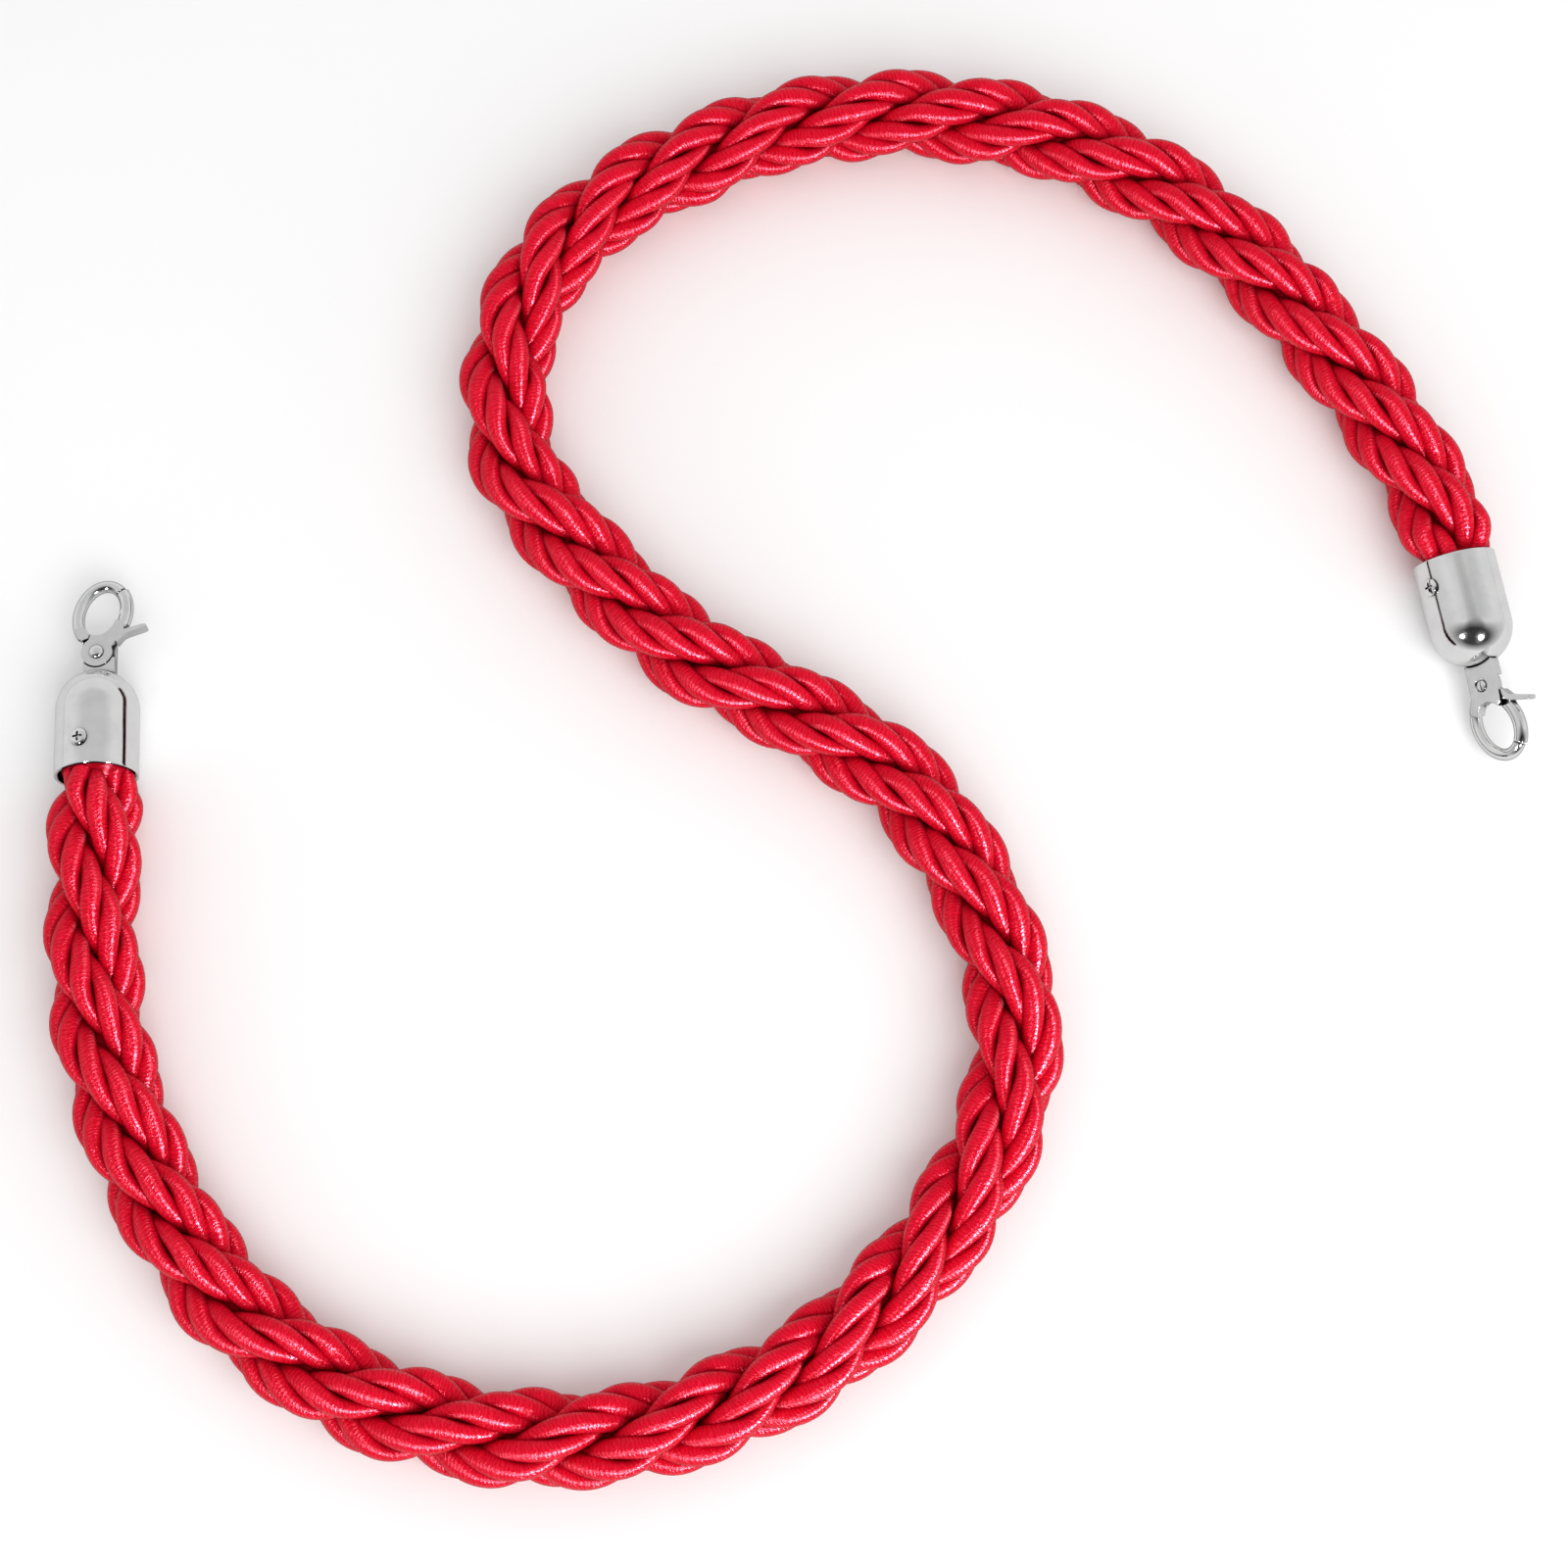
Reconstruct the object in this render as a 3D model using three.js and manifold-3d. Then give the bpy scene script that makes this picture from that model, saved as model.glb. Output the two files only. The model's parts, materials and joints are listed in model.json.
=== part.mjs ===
// Barrier rope: a thick rope laid from three strands, with a bell-shaped ferrule and a snap hook at
// each end. It lies on the floor in an S. Millimetres, +Z up. The origin is on the floor, under the
// middle of the part's box.
//
// The rope is divided along its length, so that it can bend: each length holds its own piece of the
// three strands, and ends in a round knuckle that sits in the hollow start of the next length.

import * as THREE from 'three';
import { mergeVertices } from 'three/addons/utils/BufferGeometryUtils.js';
import Module from 'manifold-3d';

const wasm = await Module();
wasm.setup();

// ---- Driving dimensions ----------------------------------------------------------------------

// The rope's middle line, from the left ferrule's mouth to the right one's: [length, turn to the
// left in degrees] of each stretch.
const START_HEADING = -86.4;
const STRETCHES = [
  [12, 0], [28, -4.2], [218, 60.7], [45, 26.6], [187.5, 58.9], [133.5, 68.3], [124.5, 31.5],
  [80.5, -33.8], [122, -77.8], [297.5, -96.8], [100, -10.6], [16, -14.9], [12, 0],
];

// The rope bends down at its ends, until the ferrules rest on the floor.
const DROOP = 4.5;              // slope of the ferrules in degrees
const DROOP_FROM = 24;          // distance from a mouth at which the bend starts

const STRANDS = ['a', 'b', 'c'];
const LAY_LENGTH = 106;         // one turn of a strand round the rope, left-hand lay
const LAY_RADIUS = 10.1;        // rope's middle to a strand's middle
const STRAND_RADIUS = 7.5;
const MOUTH_LAY_RADIUS = 7.2;   // the same two inside the ferrule
const MOUTH_STRAND_RADIUS = 5.6;
const MOUTH_SWELL = 15;         // the rope reaches its full size this far outside the mouth
const ROPE_IN_FERRULE = 22;
const STRAND_STEP = 11;         // length of one facet along a strand
const STRAND_SIDES = 7;

const BEND_JOINTS = 12;
const TWIST_JOINT_AT = 26;      // distance from a mouth to the joint where the rope end twists
const TWIST_GAP = 0.5;
const KNUCKLE_RADIUS = 18;
const KNUCKLE_GAP = 1.8;
const KNUCKLE_SIDES = 24;

const FERRULE_RADIUS = 15;
const FERRULE_WALL = 1.4;
const FERRULE_STRAIGHT = 25.5;  // mouth to the start of the round dome
const FERRULE_SIDES = 28;
const DOME_STEPS = 6;

const SCREW_FROM_MOUTH = 10;
const SCREW_HEAD_RADIUS = 3.1;
const SCREW_HEAD_HEIGHT = 1.1;
const SCREW_RADIUS = 1.5;
const SCREW_LENGTH = 9;

const HOOK_THICKNESS = 5;
const HALF_LAP_GAP = 0.3;       // between the hook body's plate and the lever
const NECK_LEFT = -5.3;
const NECK_RIGHT = 6.3;
const NECK_FULL_TOP = 45.5;     // the neck is full thickness up to here
const TANG_INSET = 1;           // the tang is narrower than the neck by this on each side
const TANG_THICKNESS = 4.4;
const TANG_END = 31.5;
const TANG_PIN_AT = 34.2;
const TANG_PIN_RADIUS = 1.5;
const TANG_PIN_LENGTH = 16.8;

const PIVOT = new THREE.Vector2(-0.4, 48);
const LEVER_DISC_RADIUS = 5.7;
const LEVER_RECESS_RADIUS = 6.2;
const RIVET_RADIUS = 1.4;
const RIVET_HEAD_RADIUS = 2.5;
const SPRING_RADIUS = 2.5;
const SPRING_WIRE = 0.6;
const SPRING_TURNS = 3;
const SPRING_POCKET_RADIUS = 3.4;
const SPRING_POCKET_DEPTH = 1.7;

const EYE_CENTRE = new THREE.Vector2(0.95, 63.5);
const EYE_HALF_LENGTH = 9.25;
const EYE_HALF_WIDTH = 6.1;
const EYE_LEAN = 17;            // degrees that the eye's long axis leans towards the lever
const BODY_ARM_RADIUS = 2.25;
const LEVER_ARM_RADIUS = 2.5;
const SLIT_ANGLE = 30;          // where the lever's tip meets the hook's tip, from the eye's long axis
const SLIT = 0.6;

const GAP = 0.3;                // clearance between pieces that touch on the real object

// Turn of each end about its own axis, and the place of its screw round the ferrule.
const LEFT_END = { name: 'left', roll: 0, screwAngle: -12.5 };
const RIGHT_END = { name: 'right', roll: -130, screwAngle: 189 };

// ---- Materials -------------------------------------------------------------------------------

const redSatin = () => new THREE.MeshStandardMaterial({ color: 0xd12035, roughness: 0.5, metalness: 0 });
const polishedNickel = () => new THREE.MeshStandardMaterial({ color: 0xd6d6d8, roughness: 0.12, metalness: 1 });
const springSteel = () => new THREE.MeshStandardMaterial({ color: 0x9a9da2, roughness: 0.3, metalness: 1 });

// ---- Solids ----------------------------------------------------------------------------------

function toSolid(geometry) {
  const bare = geometry.clone();
  bare.deleteAttribute('normal');
  bare.deleteAttribute('uv');
  const welded = mergeVertices(bare);
  const mesh = new wasm.Mesh({
    numProp: 3,
    vertProperties: new Float32Array(welded.attributes.position.array),
    triVerts: new Uint32Array(welded.index.array),
  });
  return new wasm.Manifold(mesh);
}

function toGeometry(solid) {
  const mesh = solid.getMesh();
  const geometry = new THREE.BufferGeometry();
  geometry.setAttribute('position', new THREE.BufferAttribute(new Float32Array(mesh.vertProperties), 3));
  geometry.setIndex(new THREE.BufferAttribute(new Uint32Array(mesh.triVerts), 1));
  geometry.computeVertexNormals();
  return geometry;
}

const join = (solids) => solids.reduce((whole, solid) => whole.add(solid));
const cut = (solid, cutters) => cutters.reduce((rest, cutter) => rest.subtract(cutter), solid);

function block(x0, x1, y0, y1, z0, z1) {
  const box = new THREE.BoxGeometry(x1 - x0, y1 - y0, z1 - z0);
  return toSolid(box.translate((x0 + x1) / 2, (y0 + y1) / 2, (z0 + z1) / 2));
}

// A round bar along Z.
function barZ(centre, radius, z0, z1, sides) {
  const bar = new THREE.CylinderGeometry(radius, radius, z1 - z0, sides).rotateX(Math.PI / 2);
  return toSolid(bar.translate(centre.x, centre.y, (z0 + z1) / 2));
}

function plate(shape, z0, z1, curveSegments = 12) {
  const slab = new THREE.ExtrudeGeometry(shape, { depth: z1 - z0, bevelEnabled: false, curveSegments });
  return toSolid(slab.translate(0, 0, z0));
}

function polygon(corners) {
  return new THREE.Shape(corners.map(([x, y]) => new THREE.Vector2(x, y)));
}

function circle(radius, sides) {
  const angles = Array.from({ length: sides }, (_, i) => (i / sides) * 2 * Math.PI);
  return new THREE.Shape(angles.map((a) => new THREE.Vector2(radius * Math.cos(a), radius * Math.sin(a))));
}

function named(name, solid, material) {
  const mesh = new THREE.Mesh(toGeometry(solid), material);
  mesh.name = name;
  return mesh;
}

// ---- The rope's middle line ------------------------------------------------------------------

const ROPE_LENGTH = STRETCHES.reduce((sum, [length]) => sum + length, 0);
const TOTAL_TURN = STRETCHES.reduce((sum, [, turn]) => sum + Math.abs(turn), 0);

// Place and heading (radians) of the middle line at a distance from the left mouth. It runs on
// straight beyond both mouths.
function lineAt(distance) {
  let x = 0;
  let y = 0;
  let heading = THREE.MathUtils.degToRad(START_HEADING);
  let left = distance;
  const go = (length, turn) => {
    if (turn === 0) {
      x += length * Math.cos(heading);
      y += length * Math.sin(heading);
      return;
    }
    const radius = length / turn;
    x += radius * (Math.sin(heading + turn) - Math.sin(heading));
    y -= radius * (Math.cos(heading + turn) - Math.cos(heading));
    heading += turn;
  };
  if (left < 0) {
    go(left, 0);
    return { x, y, heading };
  }
  for (const [length, degrees] of STRETCHES) {
    const step = Math.min(left, length);
    go(step, THREE.MathUtils.degToRad(degrees) * (step / length));
    left -= step;
    if (left <= 0) return { x, y, heading };
  }
  go(left, 0);
  return { x, y, heading };
}

// Height of the middle line over its level part, and its rise (radians) in the direction of the line.
function droopAt(distance) {
  const toMouth = Math.min(distance, ROPE_LENGTH - distance);
  const slope = THREE.MathUtils.degToRad(DROOP);
  const bent = Math.min(DROOP_FROM, Math.max(0, DROOP_FROM - toMouth));
  const height = -(slope * bent * bent) / (2 * DROOP_FROM) + Math.min(0, toMouth) * Math.sin(slope);
  const towardsMiddle = distance < ROPE_LENGTH / 2 ? 1 : -1;
  return { height, rise: (towardsMiddle * slope * bent) / DROOP_FROM };
}

// Distance at which the line has turned, either way, through the given sum of degrees.
function distanceAtTurn(target) {
  let distance = 0;
  let turned = 0;
  for (const [length, degrees] of STRETCHES) {
    const turn = Math.abs(degrees);
    if (turned + turn >= target) return distance + (length * (target - turned)) / turn;
    distance += length;
    turned += turn;
  }
  return distance;
}

// The bending joints share the rope's whole turn equally.
const bendJoints = Array.from({ length: BEND_JOINTS }, (_, i) =>
  distanceAtTurn(((i + 0.5) * TOTAL_TURN) / BEND_JOINTS));

// ---- Strands ---------------------------------------------------------------------------------

function smooth(t) {
  const c = Math.min(1, Math.max(0, t));
  return c * c * (3 - 2 * c);
}

// Share of the rope's full size at a distance along it: less than 1 near and inside the mouths.
function fullness(distance) {
  return smooth(Math.min(distance, ROPE_LENGTH - distance) / MOUTH_SWELL);
}

// One strand from one distance to another: a straight round bar bent along its helix. Its sections
// lie across the rope, where the slope of the lay makes them wider round the rope than they are deep.
function strand(index, from, to) {
  const steps = Math.ceil((to - from) / STRAND_STEP);
  const bar = new THREE.CylinderGeometry(1, 1, to - from, STRAND_SIDES, steps);
  const place = bar.attributes.position;
  for (let i = 0; i < place.count; i++) {
    const distance = (from + to) / 2 + place.getY(i);
    const { x, y, heading } = lineAt(distance);
    const { height, rise } = droopAt(distance);
    const full = fullness(distance);
    const layRadius = THREE.MathUtils.lerp(MOUTH_LAY_RADIUS, LAY_RADIUS, full);
    const depth = THREE.MathUtils.lerp(MOUTH_STRAND_RADIUS, STRAND_RADIUS, full);
    const width = depth * Math.hypot(1, (2 * Math.PI * layRadius) / LAY_LENGTH);
    const angle = 2 * Math.PI * (index / STRANDS.length - distance / LAY_LENGTH);
    const outward = layRadius + depth * place.getX(i);
    const around = -width * place.getZ(i);
    const side = outward * Math.cos(angle) - around * Math.sin(angle);
    const up = outward * Math.sin(angle) + around * Math.cos(angle);
    const back = up * Math.sin(rise);
    place.setXYZ(
      i,
      x - side * Math.sin(heading) - back * Math.cos(heading),
      y + side * Math.cos(heading) - back * Math.sin(heading),
      height + up * Math.cos(rise),
    );
  }
  return toSolid(bar);
}

// A solid made round a joint, moved to the joint's place with +X along the rope.
function atJoint(distance, solid) {
  const { x, y, heading } = lineAt(distance);
  const geometry = toGeometry(solid);
  return toSolid(geometry.rotateZ(heading).translate(x, y, 0));
}

const REACH = 30;               // half size of the tools that shape the knuckles
const ORIGIN = new THREE.Vector2(0, 0);

// What is taken off the end of a length, so that a round knuckle is left.
function knuckleCutter(distance) {
  const beyond = block(0, 2 * REACH, -REACH, REACH, -REACH, REACH);
  const knuckle = barZ(ORIGIN, KNUCKLE_RADIUS, -REACH - 1, REACH + 1, KNUCKLE_SIDES);
  return atJoint(distance, beyond.subtract(knuckle));
}

// What is taken off the start of the next length, so that the knuckle sits in it.
function socketCutter(distance) {
  return atJoint(distance, barZ(ORIGIN, KNUCKLE_RADIUS + KNUCKLE_GAP, -REACH, REACH, KNUCKLE_SIDES));
}

// The lengths of the rope: where their strands start and end, and the tools that shape the ends.
function ropeLengths() {
  const twistJoints = [TWIST_JOINT_AT, ROPE_LENGTH - TWIST_JOINT_AT];
  const lengths = [{ from: -ROPE_IN_FERRULE, to: twistJoints[0] - TWIST_GAP / 2, cutters: [] }];
  let from = twistJoints[0] + TWIST_GAP / 2;
  let startCutters = [];
  for (const joint of bendJoints) {
    lengths.push({ from, to: joint + KNUCKLE_RADIUS + 2, cutters: [...startCutters, knuckleCutter(joint)] });
    from = joint;
    startCutters = [socketCutter(joint)];
  }
  lengths.push({ from, to: twistJoints[1] - TWIST_GAP / 2, cutters: startCutters });
  lengths.push({ from: twistJoints[1] + TWIST_GAP / 2, to: ROPE_LENGTH + ROPE_IN_FERRULE, cutters: [] });
  return lengths;
}

// ---- Ends: every piece is made with +Y along the ferrule, out of the rope, from the mouth --------

function ferrule(screwAngle) {
  const inner = FERRULE_RADIUS - FERRULE_WALL;
  const dome = (radius, step) => {
    const angle = (step / DOME_STEPS) * (Math.PI / 2);
    return new THREE.Vector2(radius * Math.cos(angle), FERRULE_STRAIGHT + radius * Math.sin(angle));
  };
  const steps = Array.from({ length: DOME_STEPS + 1 }, (_, i) => i);
  const outline = [
    ...steps.toReversed().map((i) => dome(inner, i)),
    new THREE.Vector2(inner, 0),
    new THREE.Vector2(FERRULE_RADIUS, 0),
    ...steps.map((i) => dome(FERRULE_RADIUS, i)),
  ];
  outline[0].x = 0;
  outline[outline.length - 1].x = 0;
  const bell = toSolid(new THREE.LatheGeometry(outline, FERRULE_SIDES));
  const half = TANG_THICKNESS / 2 + GAP;
  const slot = block(NECK_LEFT + TANG_INSET - GAP, NECK_RIGHT - TANG_INSET + GAP, 30, 45, -half, half);
  return cut(bell, [slot, screwHole(screwAngle)]);
}

// A bar across the ferrule's wall, with its axis along +Z before it is turned to the screw's place.
function atScrew(geometry, screwAngle) {
  return geometry.rotateY(THREE.MathUtils.degToRad(screwAngle)).translate(0, SCREW_FROM_MOUTH, 0);
}

function screwHole(screwAngle) {
  const radius = SCREW_RADIUS + GAP;
  const hole = new THREE.CylinderGeometry(radius, radius, SCREW_LENGTH + 6, 12).rotateX(Math.PI / 2);
  hole.translate(0, 0, FERRULE_RADIUS + 3 - (SCREW_LENGTH + 6) / 2);
  return toSolid(atScrew(hole, screwAngle));
}

function screw(screwAngle) {
  const seat = FERRULE_RADIUS + GAP;
  const top = seat + SCREW_HEAD_HEIGHT;
  const outline = [
    [0, seat - SCREW_LENGTH], [SCREW_RADIUS * 0.4, seat - SCREW_LENGTH],
    [SCREW_RADIUS, seat - SCREW_LENGTH + 2], [SCREW_RADIUS, seat],
    [SCREW_HEAD_RADIUS, seat], [SCREW_HEAD_RADIUS, seat + SCREW_HEAD_HEIGHT * 0.4],
    [SCREW_HEAD_RADIUS * 0.7, top - 0.1], [0, top],
  ].map(([x, y]) => new THREE.Vector2(x, y));
  const body = toSolid(new THREE.LatheGeometry(outline, 16).rotateX(Math.PI / 2));
  const slotDepth = 0.7;
  const slotReach = SCREW_HEAD_RADIUS * 0.6;
  const slotHalf = 0.35;
  const cross = [
    block(-slotReach, slotReach, -slotHalf, slotHalf, top - slotDepth, top + 1),
    block(-slotHalf, slotHalf, -slotReach, slotReach, top - slotDepth, top + 1),
  ];
  return toSolid(atScrew(toGeometry(cut(body, cross)), screwAngle));
}

// A point on an oval round the eye, at an angle clockwise from the eye's long axis.
function roundEye(margin, degrees) {
  const angle = THREE.MathUtils.degToRad(degrees);
  const lean = THREE.MathUtils.degToRad(EYE_LEAN);
  const along = (EYE_HALF_LENGTH + margin) * Math.cos(angle);
  const across = (EYE_HALF_WIDTH + margin) * Math.sin(angle);
  return new THREE.Vector2(
    EYE_CENTRE.x + along * Math.sin(lean) + across * Math.cos(lean),
    EYE_CENTRE.y + along * Math.cos(lean) - across * Math.sin(lean),
  );
}

const EYE_STEPS = 24;

function eyeHole() {
  const points = Array.from({ length: EYE_STEPS }, (_, i) => roundEye(0, -(i * 360) / EYE_STEPS));
  return plate(new THREE.Shape(points), -HOOK_THICKNESS, HOOK_THICKNESS);
}

class EyeArc extends THREE.Curve {
  constructor(margin, from, to) {
    super();
    Object.assign(this, { margin, from, to });
  }

  getPoint(t, target = new THREE.Vector3()) {
    const point = roundEye(this.margin, this.from + (this.to - this.from) * t);
    return target.set(point.x, point.y, 0);
  }
}

// A round arm along part of the oval.
function arm(radius, from, to) {
  const steps = Math.ceil(Math.abs(to - from) / 13);
  const extrudePath = new EyeArc(radius, from, to);
  return toSolid(new THREE.ExtrudeGeometry(circle(radius, 10), { steps, extrudePath, bevelEnabled: false }));
}

// Degrees round the oval that the slit's half width takes up.
const SLIT_HALF_ANGLE = THREE.MathUtils.radToDeg(SLIT / 2 / (EYE_HALF_LENGTH + BODY_ARM_RADIUS - 2));

function springPocket(z0, z1) {
  return barZ(PIVOT, SPRING_POCKET_RADIUS, z0, z1, 16);
}

function hookBody() {
  const half = HOOK_THICKNESS / 2;
  const lap = HALF_LAP_GAP / 2;
  const neckFoot = FERRULE_STRAIGHT + FERRULE_RADIUS - 4;
  const neck = block(NECK_LEFT, NECK_RIGHT, neckFoot, NECK_FULL_TOP, -half, half);
  const cheek = plate(polygon([
    [NECK_LEFT, neckFoot], [NECK_RIGHT, neckFoot], [NECK_RIGHT, 54.8], [4.3, 57.6], [-1, 60],
    [-7.4, 58], [-8.2, 56], [-5.9, 51.8], [-5.7, 47],
  ]), -half, -lap);
  const shoulder = plate(polygon([[-8.2, 56], [-6.3, 52.6], [-2.6, 53.8], [-4, 58], [-8, 58]]), -half, half - 0.2);
  const tang = block(NECK_LEFT + TANG_INSET, NECK_RIGHT - TANG_INSET, TANG_END, NECK_FULL_TOP - 2,
    -TANG_THICKNESS / 2, TANG_THICKNESS / 2);
  const domeRoom = new THREE.SphereGeometry(FERRULE_RADIUS + GAP, 28, 20).translate(0, FERRULE_STRAIGHT, 0);
  const shoulders = cut(join([neck, cheek]), [toSolid(domeRoom)]);
  const hook = arm(BODY_ARM_RADIUS, -152, SLIT_ANGLE - SLIT_HALF_ANGLE);
  const leverRoom = plate(polygon([[-3.95, 52.2], [-2.85, 56], [4, 60], [12, 50], [4, 46]]), -lap, half + 1);
  return cut(join([shoulders, tang, shoulder, hook]), [
    eyeHole(),
    leverRoom,
    barZ(PIVOT, LEVER_RECESS_RADIUS, -lap, half + 1, 28),
    springPocket(-SPRING_POCKET_DEPTH, 0),
    barZ(PIVOT, RIVET_RADIUS + GAP, -half - 1, half + 1, 12),
    barZ(new THREE.Vector2((NECK_LEFT + NECK_RIGHT) / 2, TANG_PIN_AT), TANG_PIN_RADIUS + GAP, -half, half, 12),
    countersink(),
  ]);
}

// The rivet's flush end sits in this, in the hook body's outer face.
function countersink() {
  const half = HOOK_THICKNESS / 2;
  const cone = new THREE.CylinderGeometry(RIVET_RADIUS + GAP, RIVET_RADIUS + GAP + 1.4, 1.4, 12);
  return toSolid(cone.rotateX(Math.PI / 2).translate(PIVOT.x, PIVOT.y, -half + 0.2));
}

function hookLever() {
  const half = HOOK_THICKNESS / 2;
  const lap = HALF_LAP_GAP / 2;
  const disc = barZ(PIVOT, LEVER_DISC_RADIUS, lap, half, 28);
  const web = plate(polygon([
    [-3.6, 52.4], [-2.5, 55.6], [4, 60.5], [9, 60], [9.6, 57.4], [7.9, 53.6], [5.1, 50.4], [3, 46],
  ]), lap, half);
  const tip = arm(LEVER_ARM_RADIUS, SLIT_ANGLE + SLIT_HALF_ANGLE, 122);
  const thumbTab = plate(polygon([
    [6.7, 50.8], [9.4, 54.3], [17.7, 56.8], [17.2, 58.5], [8.5, 56.3], [6.7, 54],
  ]), -half + 0.5, half);
  // Only the half that lies over the hook body's plate is kept next to it.
  const plateRoom = plate(polygon([[-8, 40], [6.65, 40], [6.65, 55], [9, 56], [9, 57.6], [-8, 57.6]]), -half - 1, lap);
  const lowerArm = cut(tip, [plateRoom]);
  return cut(join([disc, web, lowerArm, thumbTab]), [
    eyeHole(),
    springPocket(0, SPRING_POCKET_DEPTH),
    barZ(PIVOT, RIVET_RADIUS + GAP, -half - 1, half + 1, 12),
  ]);
}

function pivotRivet() {
  const end = -HOOK_THICKNESS / 2 + GAP;
  const seat = HOOK_THICKNESS / 2 + GAP;
  const outline = [
    [0, end], [RIVET_RADIUS + 0.5, end], [RIVET_RADIUS, end + 0.5], [RIVET_RADIUS, seat],
    [RIVET_HEAD_RADIUS, seat], [RIVET_HEAD_RADIUS, seat + 0.4], [RIVET_HEAD_RADIUS * 0.65, seat + 1], [0, seat + 1.2],
  ].map(([x, y]) => new THREE.Vector2(x, y));
  const rivet = new THREE.LatheGeometry(outline, 14).rotateX(Math.PI / 2);
  return toSolid(rivet.translate(PIVOT.x, PIVOT.y, 0));
}

class Coil extends THREE.Curve {
  getPoint(t, target = new THREE.Vector3()) {
    const angle = t * SPRING_TURNS * 2 * Math.PI;
    const height = (SPRING_POCKET_DEPTH - SPRING_WIRE) * 2 * (t - 0.5);
    return target.set(
      PIVOT.x + SPRING_RADIUS * Math.cos(angle),
      PIVOT.y + SPRING_RADIUS * Math.sin(angle),
      height,
    );
  }
}

function torsionSpring() {
  const steps = SPRING_TURNS * 10;
  const wire = circle(SPRING_WIRE / 2, 5);
  return toSolid(new THREE.ExtrudeGeometry(wire, { steps, extrudePath: new Coil(), bevelEnabled: false }));
}

function tangPin() {
  const centre = new THREE.Vector2((NECK_LEFT + NECK_RIGHT) / 2, TANG_PIN_AT);
  return barZ(centre, TANG_PIN_RADIUS, -TANG_PIN_LENGTH / 2, TANG_PIN_LENGTH / 2, 12);
}

// ---- Assembly --------------------------------------------------------------------------------

// An end's group: at the mouth, with its own +Y out of the rope and down, turned about that axis.
function endGroup(end, distance, outward) {
  const { x, y } = lineAt(distance);
  const group = new THREE.Group();
  group.position.set(x, y, droopAt(distance).height);
  const { degToRad } = THREE.MathUtils;
  group.rotation.set(-degToRad(DROOP), degToRad(end.roll), outward - Math.PI / 2, 'ZXY');
  group.add(
    named(`${end.name}_ferrule`, ferrule(end.screwAngle), polishedNickel()),
    named(`${end.name}_ferrule_screw`, screw(end.screwAngle), polishedNickel()),
    named(`${end.name}_hook_body`, hookBody(), polishedNickel()),
    named(`${end.name}_hook_lever`, hookLever(), polishedNickel()),
    named(`${end.name}_pivot_rivet`, pivotRivet(), polishedNickel()),
    named(`${end.name}_torsion_spring`, torsionSpring(), springSteel()),
    named(`${end.name}_tang_pin`, tangPin(), springSteel()),
  );
  group.updateMatrixWorld(true);
  return group;
}

function ropeMeshes(screwCutters) {
  const meshes = [];
  ropeLengths().forEach(({ from, to, cutters }, i) => {
    const number = String(i + 1).padStart(2, '0');
    const isEnd = from < 0 || to > ROPE_LENGTH;
    STRANDS.forEach((letter, index) => {
      const solid = cut(strand(index, from, to), isEnd ? screwCutters : cutters);
      meshes.push(named(`strand_${letter}_${number}`, solid, redSatin()));
    });
  });
  return meshes;
}

const leftEnd = endGroup(LEFT_END, 0, lineAt(0).heading + Math.PI);
const rightEnd = endGroup(RIGHT_END, ROPE_LENGTH, lineAt(ROPE_LENGTH).heading);

// The screws pass into the rope inside the ferrules.
const screwCutters = [[leftEnd, LEFT_END], [rightEnd, RIGHT_END]].map(([group, end]) =>
  toSolid(toGeometry(screwHole(end.screwAngle)).applyMatrix4(group.matrixWorld)));

const barrierRope = new THREE.Group();
barrierRope.add(leftEnd, rightEnd, ...ropeMeshes(screwCutters));
const box = new THREE.Box3().setFromObject(barrierRope, true);
const middle = box.getCenter(new THREE.Vector3());
barrierRope.position.set(-middle.x, -middle.y, -box.min.z);

export default barrierRope;
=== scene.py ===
"""Barrier rope: satin cords laid into three strands, laid into a rope, with a polished ferrule and a snap
hook at each end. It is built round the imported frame. Metres, +Z up."""

import json
import math

import bmesh
import bpy
import numpy as np
from mathutils import Matrix, Vector


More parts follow.
